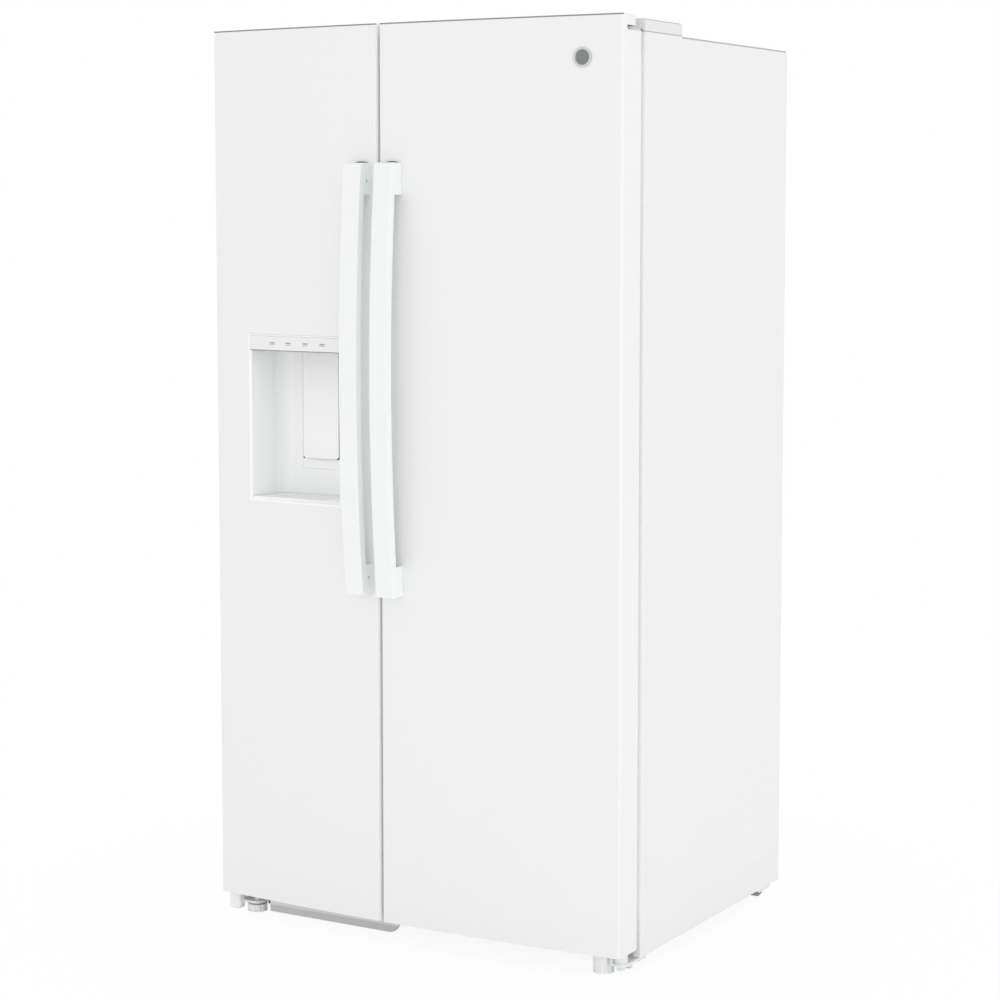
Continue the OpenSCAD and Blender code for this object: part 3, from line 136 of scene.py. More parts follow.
class FridgeStudio(bpy.types.PropertyGroup):
    """Camera and lights."""
    lens: FloatProperty(name="Lens", description="Focal length in millimetres",
                        default=87.9, min=20.0, max=300.0)
    shift: FloatProperty(name="Shift", description="Vertical shift of the lens",
                         default=-0.06, min=-0.5, max=0.5)
    yaw: FloatProperty(name="Turn", description="Turn of the camera to the left",
                       default=math.radians(30.53), subtype="ANGLE")
    pitch: FloatProperty(name="Tilt", description="Downward tilt of the camera",
                         default=math.radians(5.33), subtype="ANGLE")
    world: FloatProperty(name="Soft light", description="Strength of the light all round",
                         default=0.9, min=0.0, max=3.0)
    key: FloatProperty(name="Key light", description="Power of the large front lamp",
                       default=20.0, unit="POWER", min=0.0)
    fill: FloatProperty(name="Fill light", description="Power of the side lamp",
                        default=19.0, unit="POWER", min=0.0)


def settings():
    scene = bpy.context.scene
    return scene.fridge_colours, scene.fridge_sizes, scene.fridge_studio


def bow_radius():
    """Radius of the doors' bowed front, seen from above."""
    bow = settings()[1].bow
    return (HALF_WIDTH ** 2 + bow ** 2) / (2 * bow)


def bow_front(x):
    """Depth of the doors' front at a distance from the middle."""
    radius = bow_radius()
    return FACE_Y + radius - settings()[1].bow - math.sqrt(radius ** 2 - x ** 2)


def bow_turn(x):
    """Turn of the doors' front about the upright at a distance from the middle."""
    return math.asin(x / bow_radius())


# ---- materials ----------------------------------------------------------------------

def add(tree, kind, settings=None, links=None):
    """Adds a node; settings go to its inputs or properties, links to its inputs."""
    node = tree.nodes.new("ShaderNode" + kind)
    for key, value in (settings or {}).items():
        if isinstance(key, int) or key in node.inputs:
            node.inputs[key].default_value = value
        else:
            setattr(node, key, value)
    for key, source in (links or {}).items():
        tree.links.new(source, node.inputs[key])
    return node


def surface(name, base, roughness, **sockets):
    """Starts a material; returns it with its tree, shader and object coordinates."""
    material = bpy.data.materials.get(name)
    if material:
        bpy.data.materials.remove(material)
    material = bpy.data.materials.new(name)
    material.use_nodes = True
    material.diffuse_color = base
    tree = material.node_tree
    shader = tree.nodes["Principled BSDF"]
    shader.inputs["Base Color"].default_value = base
    shader.inputs["Roughness"].default_value = roughness
    for key, value in sockets.items():
        shader.inputs[key.replace("_", " ")].default_value = value
    place = add(tree, "TexCoord").outputs["Object"]
    return material, tree, shader, place


def mottled(tree, shader, place, base, cell_mm, amount, roughness):
    """Slow changes of shade, by a share of the base colour, and of gloss over cells."""
    cloud = add(tree, "TexNoise", {"Scale": 1 / (cell_mm * MM), "Detail": 1.0},
                {"Vector": place})
    shade = [c * (1 - amount) for c in base[:3]] + [1.0]
    mix = add(tree, "Mix", {"data_type": "RGBA", 6: base, 7: shade},
              {0: cloud.outputs["Fac"]})
    tree.links.new(mix.outputs[2], shader.inputs["Base Color"])
    spread = 0.08
    gloss = add(tree, "MapRange", {"To Min": roughness * (1 - spread),
                                   "To Max": roughness * (1 + spread)},
                {"Value": cloud.outputs["Fac"]})
    tree.links.new(gloss.outputs["Result"], shader.inputs["Roughness"])


def grained(tree, shader, place, cell_mm, depth_mm, detail=2.0):
    """Fine relief of one cell size and depth."""
    grain = add(tree, "TexNoise", {"Scale": 1 / (cell_mm * MM), "Detail": detail},
                {"Vector": place})
    bump = add(tree, "Bump", {"Strength": 1.0, "Distance": depth_mm * MM},
               {"Height": grain.outputs["Fac"]})
    tree.links.new(bump.outputs["Normal"], shader.inputs["Normal"])


def painted_steel(name, base, roughness=0.3, peel_mm=7.0):
    """Pre-painted steel sheet: a smooth satin gloss with a faint orange peel. The peel is
    drawn at several times its real 1 to 2 mm, so that it shows at all."""
    material, tree, shader, place = surface(name, base, roughness, IOR=1.5)
    mottled(tree, shader, place, base, cell_mm=260, amount=0.005, roughness=roughness)
    grained(tree, shader, place, peel_mm, depth_mm=0.008)
    return material


def moulded(name, base, roughness=0.42, cell_mm=1.4, depth_mm=0.03):
    """Injection moulded plastic: even colour, softer gloss than paint and a spark-eroded
    grain, drawn at about twice its real size."""
    material, tree, shader, place = surface(name, base, roughness, IOR=1.53)
    mottled(tree, shader, place, base, cell_mm=90, amount=0.02, roughness=roughness)
    grained(tree, shader, place, cell_mm, depth_mm, detail=4.0)
    return material


def clear_plastic(name, base, roughness=0.06, transmission=0.92):
    """Clear moulded polystyrene or float glass: see-through with faint, broad flow marks
    from the mould or the rollers."""
    material, tree, shader, place = surface(name, base, roughness, IOR=1.5,
                                            Transmission_Weight=transmission)
    mottled(tree, shader, place, base, cell_mm=140, amount=0.02, roughness=roughness)
    grained(tree, shader, place, cell_mm=60.0, depth_mm=0.05)
    return material


def metal(name, base, roughness, cell_mm=12.0, stretch=(1, 1, 1)):
    """Bare or plated metal: cloudy gloss from rolling or plating, with a fine grain at an
    eighth of the clouds' size."""
    material, tree, shader, place = surface(name, base, roughness, Metallic=1.0)
    along = add(tree, "Mapping", {"Scale": stretch}, {"Vector": place}).outputs["Vector"]
    mottled(tree, shader, along, base, cell_mm, amount=0.18, roughness=roughness)
    grained(tree, shader, along, cell_mm / 8, depth_mm=0.02)
    return material


def finishes():
    """All materials by the name of what they stand for."""
    colours, _, _ = settings()
    tint = {key: tuple(getattr(colours, key)) for key in (
        "doors", "cabinet", "cap", "edge", "handle", "dispenser", "strip", "icon",
        "badge", "toe", "liner", "hardware")}
    return {
        # Coil-coated or powder-coated sheet: satin white with a faint orange peel.
        "door_paint": painted_steel("door_painted_steel", tint["doors"], 0.32),
        "case_paint": painted_steel("cabinet_painted_steel", tint["cabinet"], 0.36,
                                    peel_mm=5.0),
        "hinge_paint": painted_steel("hinge_painted_steel", tint["hardware"], 0.4,
                                     peel_mm=4.0),
        # Darker paint that stands for the shadow of folds too thin to show: lines along
        # the upper edges.
        "edge_shadow": painted_steel("turned_edge_paint", tint["edge"], 0.4),
        # paler painted shadow for the cabinet's upper fold and the hinge covers' foot
        "fold_shadow": painted_steel("folded_edge_paint", srgb("#AEB2B2"), 0.4),
        # Painted light: paint inside the seams, set whiter than the fronts to keep the
        # narrow gaps light where shade falls in them.
        "seam_painted_light": painted_steel("flange_painted_steel", srgb("#FCFDFD"), 0.36),
        # Moulded ABS: even colour and a softer gloss than the paint. The handles' sides
        # are set whiter and faintly green: painted light that keeps the space between
        # the handles light.
        "cap_abs": moulded("cap_abs", tint["cap"]),
        "cover_abs": moulded("cover_abs", srgb("#E7E7E7")),
        "handle_abs": moulded("handle_abs", tint["handle"], 0.33, cell_mm=1.2,
                              depth_mm=0.008),
        "handle_side_light": moulded("handle_side_abs", srgb("#FAFFFD"), 0.33, cell_mm=1.2,
                               depth_mm=0.008),
        # The dispenser is set whiter than the doors so that its shaded recess stays
        # light: partly painted light.
        "dispenser_abs": moulded("dispenser_abs", tint["dispenser"], 0.38, cell_mm=1.2,
                                 depth_mm=0.012),
        "strip_abs": moulded("control_strip_abs", tint["strip"], 0.32, cell_mm=2.0,
                             depth_mm=0.006),
        "toe_abs": moulded("toe_panel_abs", tint["toe"], 0.5),
        # the toe panel's upper band is set paler: painted light along its top
        "toe_top_light": moulded("toe_panel_lip_abs", srgb("#E6E8E8"), 0.45),
        # drip tray set nearly white so that it stays light in the shaded recess: partly
        # painted light
        "tray_abs": moulded("drip_tray_abs", srgb("#FAFCFB"), 0.4),
        # Thermoformed sheet: glossier, with a broad soft ripple from the mould.
        "liner_abs": moulded("thermoformed_liner_abs", tint["liner"], 0.35, cell_mm=8.0,
                             depth_mm=0.02),
        # Screen printing ink: flat grey, matt.
        "mark_ink": moulded("printed_mark_ink", tint["icon"], 0.5),
        # Moulded nylon feet: near white, dull, set paler so that they stay light in the
        # shade under the doors: partly painted light.
        "foot_nylon": moulded("foot_nylon", srgb("#F6F7F7"), 0.5),
        # Painted shadow: matt dark grey for the crescents above the handles and in the
        # hinge arms' slots, pale grey for the crescents below the handles.
        "pad_rubber": moulded("pad_rubber", srgb("#3C4041"), 0.7),
        "pale_painted_shadow": moulded("pad_grey_rubber", srgb("#B4B8B8"), 0.7),
        # Extruded vinyl: soft sheen, set nearly white so that the shaded gaps at the
        # doors stay light: partly painted light.
        "gasket": moulded("gasket_vinyl", srgb("#FCFDFD"), 0.55, cell_mm=1.0,
                          depth_mm=0.02),
        # Moulded polystyrene and float glass: clear, frosted, faintly green.
        "bin_plastic": clear_plastic("clear_polystyrene", srgb("#F8FBFB")),
        "bucket_plastic": clear_plastic("frosted_polystyrene", srgb("#F1F5F6"), 0.4,
                                        transmission=0.7),
        "glass": clear_plastic("tempered_glass", srgb("#EAF4F0"), 0.02,
                               transmission=0.96),
        # Epoxy powder on drawn wire: white, half gloss.
        "white_wire": moulded("epoxy_coated_wire", srgb("#EEF0EF"), 0.35),
        # Plated, hot-dipped, rolled and turned metal: cloudy grey gloss. The galvanised
        # sheet's spangle is drawn at about twice its real size.
        "zinc": metal("zinc_plated_steel", srgb("#D9DDDE"), 0.42),
        "galvanised": metal("galvanised_sheet", srgb("#AEB3B5"), 0.42, cell_mm=30.0),
        "aluminium": metal("rolled_aluminium", srgb("#C9CDCF"), 0.3, cell_mm=6.0,
                           stretch=(1, 1, 0.1)),
        "chrome": metal("satin_chrome", tint["badge"], 0.22, cell_mm=3.0),
        "field": metal("badge_field", srgb("#8C9091"), 0.34, cell_mm=2.0),
        # Baked enamel: black, glossy.
        "black_enamel": moulded("black_enamel", srgb("#1E2022"), 0.35, cell_mm=3.0,
                                depth_mm=0.02),
        # Glass-filled and plain plastic of fans, motors and rollers: dull.
        "dark_plastic": moulded("dark_glass_filled_plastic", srgb("#2B2D2F"), 0.5),
        "grey_plastic": moulded("grey_plastic", srgb("#9AA0A1"), 0.45),
        # Foamed polyurethane: cream, matt, open texture.
        "foam": moulded("polyurethane_foam", srgb("#E8D9A8"), 0.8, cell_mm=2.0,
                        depth_mm=0.3),
    }


MATERIALS = {}

# Finish of each CAD node, those that a finished piece stands for included.
NODE_FINISH = {
    "case_paint": ["case_shell"],
    "galvanised": ["case_back_panel", "machine_cover"],
    "hinge_paint": ["base_frame", "hinge_brackets"],
    "foam": ["cabinet_insulation", "freezer_door_insulation", "fresh_door_insulation"],
    "liner_abs": ["freezer_liner", "fresh_food_liner", "freezer_door_liner",
                  "fresh_door_liner", "center_mullion", "evaporator_cover",
                  "control_housing", "icemaker_body", "icemaker_rake", "water_filter",
                  "shelf_frames", "humidity_slider"],
    "glass": ["glass_shelves"],
    "bin_plastic": ["crisper_upper", "crisper_lower", "snack_pan", "freezer_door_bins",
                    "fresh_door_bins", "dairy_flap"],
    "bucket_plastic": ["ice_bucket"],
    "white_wire": ["freezer_shelves", "freezer_basket"],
    "zinc": ["icemaker_shutoff_arm", "ice_auger"],
    "foot_nylon": ["leveling_leg_left", "leveling_leg_right"],
    "aluminium": ["evaporator_coil"],
    "black_enamel": ["compressor", "condenser_coil"],
    "dark_plastic": ["condenser_fan_motor", "drain_pan", "freezer_motors",
                     "ice_chute_flap"],
    "grey_plastic": ["condenser_fan", "evaporator_fan", "water_valve",
                     "rear_roller_left", "rear_roller_right"],
    "tray_abs": ["dispenser_tray"],
    "gasket": ["freezer_door_gasket", "fresh_door_gasket"],
    "cap_abs": ["hinge_covers"],
    "toe_abs": ["toe_panel"],
    "handle_abs": ["freezer_handle", "fresh_handle"],
    "dispenser_abs": ["dispenser_housing", "dispenser_paddle"],
    "strip_abs": ["dispenser_controls"],
    "door_paint": ["freezer_door_skin", "fresh_door_skin"],
    "edge_shadow": ["freezer_door_caps", "fresh_door_caps"],
}


# ---- mesh helpers -------------------------------------------------------------------

def cad_copy(node):
    """A CAD node's mesh as one closed surface with its flat faces joined."""
    form = bmesh.new()
    form.from_mesh(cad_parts[node].data)
    flat = math.radians(0.2)
    bmesh.ops.remove_doubles(form, verts=form.verts, dist=MERGE)
    bmesh.ops.dissolve_limit(form, angle_limit=flat, verts=form.verts, edges=form.edges)
    return form


def round_edges(form, width, segments, least=40, chosen=None):
    """Rounds the edges whose faces meet at more than an angle in degrees."""
    edges = [e for e in form.edges if len(e.link_faces) == 2
             and e.calc_face_angle(0) > math.radians(least)
             and (chosen is None or chosen(e))]
    bmesh.ops.bevel(form, geom=edges, offset=width, offset_type="OFFSET",
                    segments=segments, profile=0.5, affect="EDGES",
                    clamp_overlap=True, material=-1)


def finished(name, form, materials, body, replaces=(), crease=35, closed=True):
    """Turns a bmesh into a piece that rides on a body."""
    if closed:
        bmesh.ops.recalc_face_normals(form, faces=form.faces)
    mesh = bpy.data.meshes.new(name)
    form.to_mesh(mesh)
    form.free()
    for material in materials:
        mesh.materials.append(MATERIALS[material])
    mesh.shade_smooth()
    mesh.set_sharp_from_angle(angle=math.radians(crease))
    piece = bpy.data.objects.new(name, mesh)
    bpy.context.scene.collection.objects.link(piece)
    # wide flat faces keep their flat shading next to rounded edges
    flat = piece.modifiers.new("flat faces", "WEIGHTED_NORMAL")
    flat.mode, flat.weight, flat.keep_sharp = "FACE_AREA", 100, True
    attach(piece, body)
    if replaces:
        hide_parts(*replaces)


def score(form, level):
    """Cuts all faces at one height, so that the band beside it can take a finish."""
    bmesh.ops.bisect_plane(form, geom=form.verts[:] + form.edges[:] + form.faces[:],
                           dist=MERGE, plane_co=(0, 0, level), plane_no=(0, 0, 1))


def lay_on_door(form, verts, x, depth, z):
    """Stands a flat form up, turns it with the doors' bow and sets it in its place."""
    for turn, axis in ((math.radians(90), "X"), (bow_turn(x), "Z")):
        bmesh.ops.rotate(form, cent=(0, 0, 0), verts=verts,
                         matrix=Matrix.Rotation(turn, 3, axis))
    bmesh.ops.translate(form, vec=(x, bow_front(x) + depth, z), verts=verts)


def height_of(face):
    return face.calc_center_median().z


def block(low, high):
    """Box between two corners."""
    form = bmesh.new()
    bmesh.ops.create_cube(form, size=1.0)
    low, high = Vector(low), Vector(high)
    size = high - low
    bmesh.ops.scale(form, vec=size, verts=form.verts)
    bmesh.ops.translate(form, vec=(low + high) / 2, verts=form.verts)
    return form


def carve(form, cutters):
    """Takes boxes out of a bmesh with an exact boolean."""
    mesh = bpy.data.meshes.new("carved")
    form.to_mesh(mesh)
    form.free()
    body = bpy.data.objects.new("carved", mesh)
    bpy.context.scene.collection.objects.link(body)
    tools = []
    for cutter in cutters:
        tool_mesh = bpy.data.meshes.new("cutter")
        cutter.to_mesh(tool_mesh)
        cutter.free()
        tool = bpy.data.objects.new("cutter", tool_mesh)
        bpy.context.scene.collection.objects.link(tool)
        step = body.modifiers.new("cut", "BOOLEAN")
        step.operation, step.solver, step.object = "DIFFERENCE", "EXACT", tool
        tools.append(tool)
    bpy.context.view_layer.update()
    done = body.evaluated_get(bpy.context.evaluated_depsgraph_get())
    result = bmesh.new()
    result.from_mesh(done.to_mesh())
    done.to_mesh_clear()
    for extra in [body] + tools:
        data = extra.data
        bpy.data.objects.remove(extra)
        bpy.data.meshes.remove(data)
    return result


# ---- operators ----------------------------------------------------------------------

class FRIDGE_OT_materials(bpy.types.Operator):
    """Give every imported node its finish"""
    bl_idname = "fridge.materials"
    bl_label = "Finishes"

    def execute(self, context):
        MATERIALS.update(finishes())
        dressed = set()
        for finish, nodes in NODE_FINISH.items():
            for node in nodes:
                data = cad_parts[node].data
                data.materials.clear()
                data.materials.append(MATERIALS[finish])
                dressed.add(node)
        bare = set(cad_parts) - dressed
        if bare:
            raise RuntimeError(f"nodes without a finish: {sorted(bare)}")
        return {"FINISHED"}


class FRIDGE_OT_doors(bpy.types.Operator):
    """Build the bowed door shells with their end caps"""
    bl_idname = "fridge.doors"
    bl_label = "Door shells"

    def execute(self, context):
        _, sizes, _ = settings()
        for name, side in (("freezer_door", -1), ("fresh_door", 1)):
            low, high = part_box(name + "_skin")
            back = high.y
            form = block((low.x, FACE_Y, low.z), (high.x, back, high.z))
            across = [e for e in form.edges
                      if abs(e.verts[0].co.x - e.verts[1].co.x) > 0.1]
            bmesh.ops.subdivide_edges(form, edges=across, cuts=sizes.bow_steps)
            for v in form.verts:
                if v.co.y < FACE_Y + 1e-4:
                    v.co.y = bow_front(v.co.x)
            upright = [e for e in form.edges
                       if abs(e.verts[0].co.z - e.verts[1].co.z) > 0.1
                       and e.calc_face_angle(0) > math.radians(40)]
            heel = [e for e in upright if e.verts[0].co.y > back - 1e-4
                    and e.verts[0].co.x * side > HALF_WIDTH - NEAR]
            corners = [e for e in upright if e.verts[0].co.y < FACE_Y + NEAR]
            for edges, radius, steps in ((corners, sizes.corner, 6),
                                         (heel, sizes.heel, 8)):
                bmesh.ops.bevel(form, geom=edges, offset=radius, offset_type="OFFSET",
                                segments=steps, profile=0.5, affect="EDGES",
                                clamp_overlap=False, material=-1)
            round_edges(form, sizes.rim, 3, 60,
                        lambda e: abs(e.verts[0].co.z - e.verts[1].co.z) < LEVEL
                        and min(v.co.y for v in e.verts) < back - NEAR)
            # notch for the upper hinge arm, and the slot at its foot that goes further in
            arm, notch_front, slot_front, slot_rise = 35 * MM, 46 * MM, 15 * MM, 8 * MM
            x0, x1 = sorted((side * (HALF_WIDTH - arm), side * (HALF_WIDTH + OVER)))
            notch = CASE_HIGH.z - 1 * MM
            cutters = [block((x0, FACE_Y + notch_front, notch),
                             (x1, back + OVER, high.z + OVER)),
                       block((x0, FACE_Y + slot_front, notch),
                             (x1, back + OVER, notch + slot_rise))]
            # chamfer under the heel
            reach, half = 60 * MM, 7 * MM
            wedge = block((-reach, -half, -half), (reach, half, half))
            bmesh.ops.rotate(wedge, cent=(0, 0, 0), verts=wedge.verts,
                             matrix=Matrix.Rotation(math.radians(45), 3, "X"))
            bmesh.ops.translate(wedge, vec=(side * HALF_WIDTH, back, low.z),
                                verts=wedge.verts)
            cutters.append(wedge)
            if side < 0:
                # opening for the dispenser, up to above its control strip
                a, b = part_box("dispenser_housing")
                strip_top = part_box("dispenser_controls")[1].z
                play, above = 0.05 * MM, 3.3 * MM
                cutters.append(block((a.x - play, FACE_Y - 40 * MM, a.z - play),
                                     (b.x + play, back + OVER, strip_top + above)))
            # room for the foam and the opening between the returned edges at the back
            front, skin, wall, lip = 13 * MM, 2 * MM, 6 * MM, 15 * MM
            foot, head = low.z + 34 * MM, high.z - 62 * MM
            cutters.append(block((low.x + wall, FACE_Y + front, foot),
                                 (high.x - wall, back - skin, head)))
            cutters.append(block((low.x + lip, FACE_Y + front + OVER, foot + OVER),
                                 (high.x - lip, back + OVER, head - OVER)))
            form = carve(form, cutters)
            seam = high.z - sizes.seam
            score(form, seam)
            paint, cap, edge, slot_shadow, flange = range(5)
            for face in form.faces:
                x, y, z = face.calc_center_median()
                # the hinge arm's slot takes a dark painted shadow
                if (HALF_WIDTH - arm < x * side < HALF_WIDTH - 0.5 * MM
                        and y > FACE_Y + slot_front - OVER
                        and notch - 0.5 * MM < z < notch + slot_rise + 0.5 * MM):
                    face.material_index = slot_shadow
                elif abs(face.normal.z) > 0.9:
                    face.material_index = cap
                # the band under the top edge takes the painted shadow line
                elif z > seam and face.normal.y < -0.5:
                    face.material_index = edge
                # back faces and the faces inside the seam between the doors take the
                # painted light
                elif face.normal.y > 0.9 or face.normal.x * side < -0.9:
                    face.material_index = flange
                else:
                    face.material_index = paint
            finished(name + "_shell", form, ["door_paint", "cap_abs", "edge_shadow",
                                             "pad_rubber", "seam_painted_light"],
                     name, (name + "_skin", name + "_caps"))
        return {"FINISHED"}


HANDLES = (("freezer_handle", "freezer_door"), ("fresh_handle", "fresh_door"))


class FRIDGE_OT_handles(bpy.types.Operator):
    """Round the edges of the two handles"""
    bl_idname = "fridge.handles"
    bl_label = "Handles"

    def execute(self, context):
        _, sizes, _ = settings()
        for node, body in HANDLES:
            form = cad_copy(node)
            low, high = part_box(node)
            round_edges(form, sizes.grip_round, 4, 30,
                        lambda e: max(v.co.x for v in e.verts) < low.x + 1e-4
                        or min(v.co.x for v in e.verts) > high.x - 1e-4)
            # side faces take the whiter, faintly green painted light
            for face in form.faces:
                face.material_index = int(abs(face.normal.x) > 0.8)
            finished(node + "_grip", form, ["handle_abs", "handle_side_light"], body,
                     (node,))
        return {"FINISHED"}


class FRIDGE_OT_shadow_pads(bpy.types.Operator):
    """Lay thin crescents of painted shadow on the doors at the handles' ends: dark above,
    pale below
    """
    bl_idname = "fridge.pads"
    bl_label = "Handle shadow pads"

    def execute(self, context):
        chord, rise, trim = 33 * MM, 2.8 * MM, 1 * MM
        radius = ((chord / 2) ** 2 + rise ** 2) / (2 * rise)
        for node, body in HANDLES:
            low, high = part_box(node)
            x = (low.x + high.x) / 2 - 2 * MM
            form = bmesh.new()
            for edge, way, finish in ((high.z, 1, 0), (low.z, -1, 1)):
                disc = bmesh.ops.create_circle(form, cap_ends=True, segments=180,
                                               radius=radius)["verts"]
                geom = disc + [e for e in form.edges if e.verts[0] in disc]
                geom += [f for f in form.faces if f.verts[0] in disc]
                lay_on_door(form, disc, x, -0.5 * MM, edge + way * (rise - radius))
                bmesh.ops.bisect_plane(form, geom=geom, dist=MERGE, clear_inner=True,
                                       plane_co=(0, 0, edge - way * trim),
                                       plane_no=(0, 0, way))
                for face in form.faces:
                    if abs(height_of(face) - edge) < 0.1:
                        face.material_index = finish
            bmesh.ops.solidify(form, geom=form.faces[:], thickness=-1.0 * MM)
            finished(node + "_pads", form, ["pad_rubber", "pale_painted_shadow"], body)
        return {"FINISHED"}


class FRIDGE_OT_dispenser(bpy.types.Operator):
    """Finish the dispenser: frame, lever with its sill, and strip"""
    bl_idname = "fridge.dispenser"
    bl_label = "Dispenser"

    def execute(self, context):
        _, sizes, _ = settings()
        for node, name, finish, slot, body, width in (
                ("dispenser_housing", "dispenser_frame", "dispenser_abs",
                 "white_plastic", "freezer_door", 0.8 * MM),
                ("dispenser_paddle", "dispenser_lever", "dispenser_abs",
                 "white_plastic", "paddle", 0.8 * MM),
                ("dispenser_controls", "dispenser_strip", "strip_abs",
                 "white_plastic", "freezer_door", 0.4 * MM)):
            form = cad_copy(node)
            low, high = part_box(node)
            shades = [finish]
            if name == "dispenser_lever":
                # the lever's rounded lower end
                rounded = 12 * MM
                for v in form.verts:
                    if v.co.z < low.z + rounded:
                        v.co.z += sizes.lever_short
                # below its pivot the lever fills the pocket's width
                widening, fade, pivot = 4 * MM, 3 * MM, high.z - 13 * MM
                score(form, pivot)
                score(form, pivot - fade)
                for v in form.verts:
                    if v.co.z < pivot - fade + LEVEL and v.co.x > (low.x + high.x) / 2:
                        v.co.x += widening
                # sill that closes the pocket under it
                sill = block((low.x - 1 * MM, FACE_Y + 80 * MM, low.z - 8 * MM),
                             (high.x + 1 * MM, high.y + 9 * MM,
                              low.z + sizes.lever_short - 0.8 * MM))
                round_edges(sill, 1.0 * MM, 2, 40)
                finished("lever_sill", sill, [finish], "freezer_door")
            round_edges(form, width, 2, 40)
            if name == "dispenser_strip":
                # painted shadow line along the strip's lower edge, for the groove's shade
                line = low.z + sizes.groove_shadow
                score(form, line)
                for face in form.faces:
                    face.material_index = int(height_of(face) < line)
                shades = [finish, "edge_shadow"]
            finished(name, form, shades, body, (node,))
        return {"FINISHED"}


class FRIDGE_OT_marks(bpy.types.Operator):
    """Print four small plain marks on the control strip"""
    bl_idname = "fridge.marks"
    bl_label = "Strip marks"

    def execute(self, context):
        low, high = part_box("dispenser_controls")
        middle = (low.z + high.z) / 2
        form = bmesh.new()
        for x in MARK_PLACES_MM:
            for width, height, rise in MARK_BARS_MM:
                bar = bmesh.ops.create_grid(form, x_segments=1, y_segments=1,
                                            size=0.5)["verts"]
                bmesh.ops.scale(form, vec=(width * MM, height * MM, 1), verts=bar)
                lay_on_door(form, bar, x * MM, -0.25 * MM, middle + rise * MM)
        bmesh.ops.solidify(form, geom=form.faces[:], thickness=0.3 * MM)
        finished("strip_marks", form, ["mark_ink"], "freezer_door")
        return {"FINISHED"}


class FRIDGE_OT_badge(bpy.types.Operator):
    """Set the round plain badge on the fresh food door"""
    bl_idname = "fridge.badge"
    bl_label = "Badge"

    def execute(self, context):
        _, sizes, _ = settings()
        _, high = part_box("fresh_door_skin")
        thick, rim, step = 2.6 * MM, 4.2 * MM, 0.9 * MM
        ring_width, ring_depth = 3 * MM, 0.35 * MM
        form = bmesh.new()
        bmesh.ops.create_circle(form, cap_ends=True, segments=64,
                                radius=sizes.badge_radius)
        raised = bmesh.ops.extrude_face_region(form, geom=form.faces[:])["geom"]
        top = [f for f in raised if isinstance(f, bmesh.types.BMFace)]
        bmesh.ops.translate(form, vec=(0, 0, thick),
                            verts=[v for f in top for v in f.verts])
        bmesh.ops.inset_region(form, faces=top, thickness=rim)
        bmesh.ops.inset_region(form, faces=top, thickness=0.5 * MM, depth=-step)
        for face in top:
            face.material_index = 1
        # fine turned rings in the field
        for way in (-1, 1, -1):
            bmesh.ops.inset_region(form, faces=top, thickness=ring_width,
                                   depth=way * ring_depth)
        lay_on_door(form, form.verts[:], high.x - sizes.badge_x, 0.4 * MM,
                    high.z - sizes.badge_drop)
        finished("round_badge", form, ["chrome", "field"], "fresh_door")
        return {"FINISHED"}


class FRIDGE_OT_cabinet(bpy.types.Operator):
    """Finish the cabinet's outside: hinge covers, wrap and its returned rear edge"""
    bl_idname = "fridge.cabinet"
    bl_label = "Cabinet and hinge covers"

    def execute(self, context):
        form = cad_copy("hinge_covers")
        round_edges(form, 1.5 * MM, 3, 40)
        top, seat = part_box("hinge_covers")[1].z, CASE_HIGH.z
        half_line, band = 1 * MM, 2 * MM
        score(form, seat - half_line)
        score(form, seat + half_line)
        # dark painted shadow band along the covers' top and a paler painted shadow line
        # where they meet the cabinet's top
        cover, edge, line, case = range(4)
        for face in form.faces:
            z = height_of(face)
            if z < seat - half_line:
                face.material_index = case
            elif z < seat + half_line:
                face.material_index = line
            elif z > top - band and face.normal.z < 0.9:
                face.material_index = edge
            else:
                face.material_index = cover
        finished("hinge_cover_shells", form,
                 ["cover_abs", "edge_shadow", "fold_shadow", "case_paint"], "cabinet",
                 ("hinge_covers",))
        # the wrap's upper fold takes a paler painted shadow line, its front flange the
        # seams' painted light
        form = cad_copy("case_shell")
        paint, fold, flange = range(3)
        for face in form.faces:
            if face.normal.y < -0.9:
                face.material_index = flange
            elif height_of(face) > seat - 7 * MM and 0.55 < face.normal.z < 0.97:
                face.material_index = fold
            else:
                face.material_index = paint
        finished("cabinet_wrap", form, ["case_paint", "fold_shadow", "seam_painted_light"],
                 "cabinet", ("case_shell",), closed=False)
        # returned edge of the cabinet over the back panel
        side, front, back, foot, head = 1 * MM, 1.2 * MM, 0.05 * MM, 16 * MM, 0.5 * MM
        form = block((-HALF_WIDTH + side, CASE_HIGH.y - front, seat - foot),
                     (HALF_WIDTH - side, CASE_HIGH.y - back, seat - head))
        round_edges(form, 8.5 * MM, 6, 60, lambda e: min(v.co.z for v in e.verts)
                    > seat - 2 * MM and abs(e.verts[0].co.x - e.verts[1].co.x) < LEVEL)
        finished("back_flange", form, ["case_paint"], "cabinet")
        return {"FINISHED"}


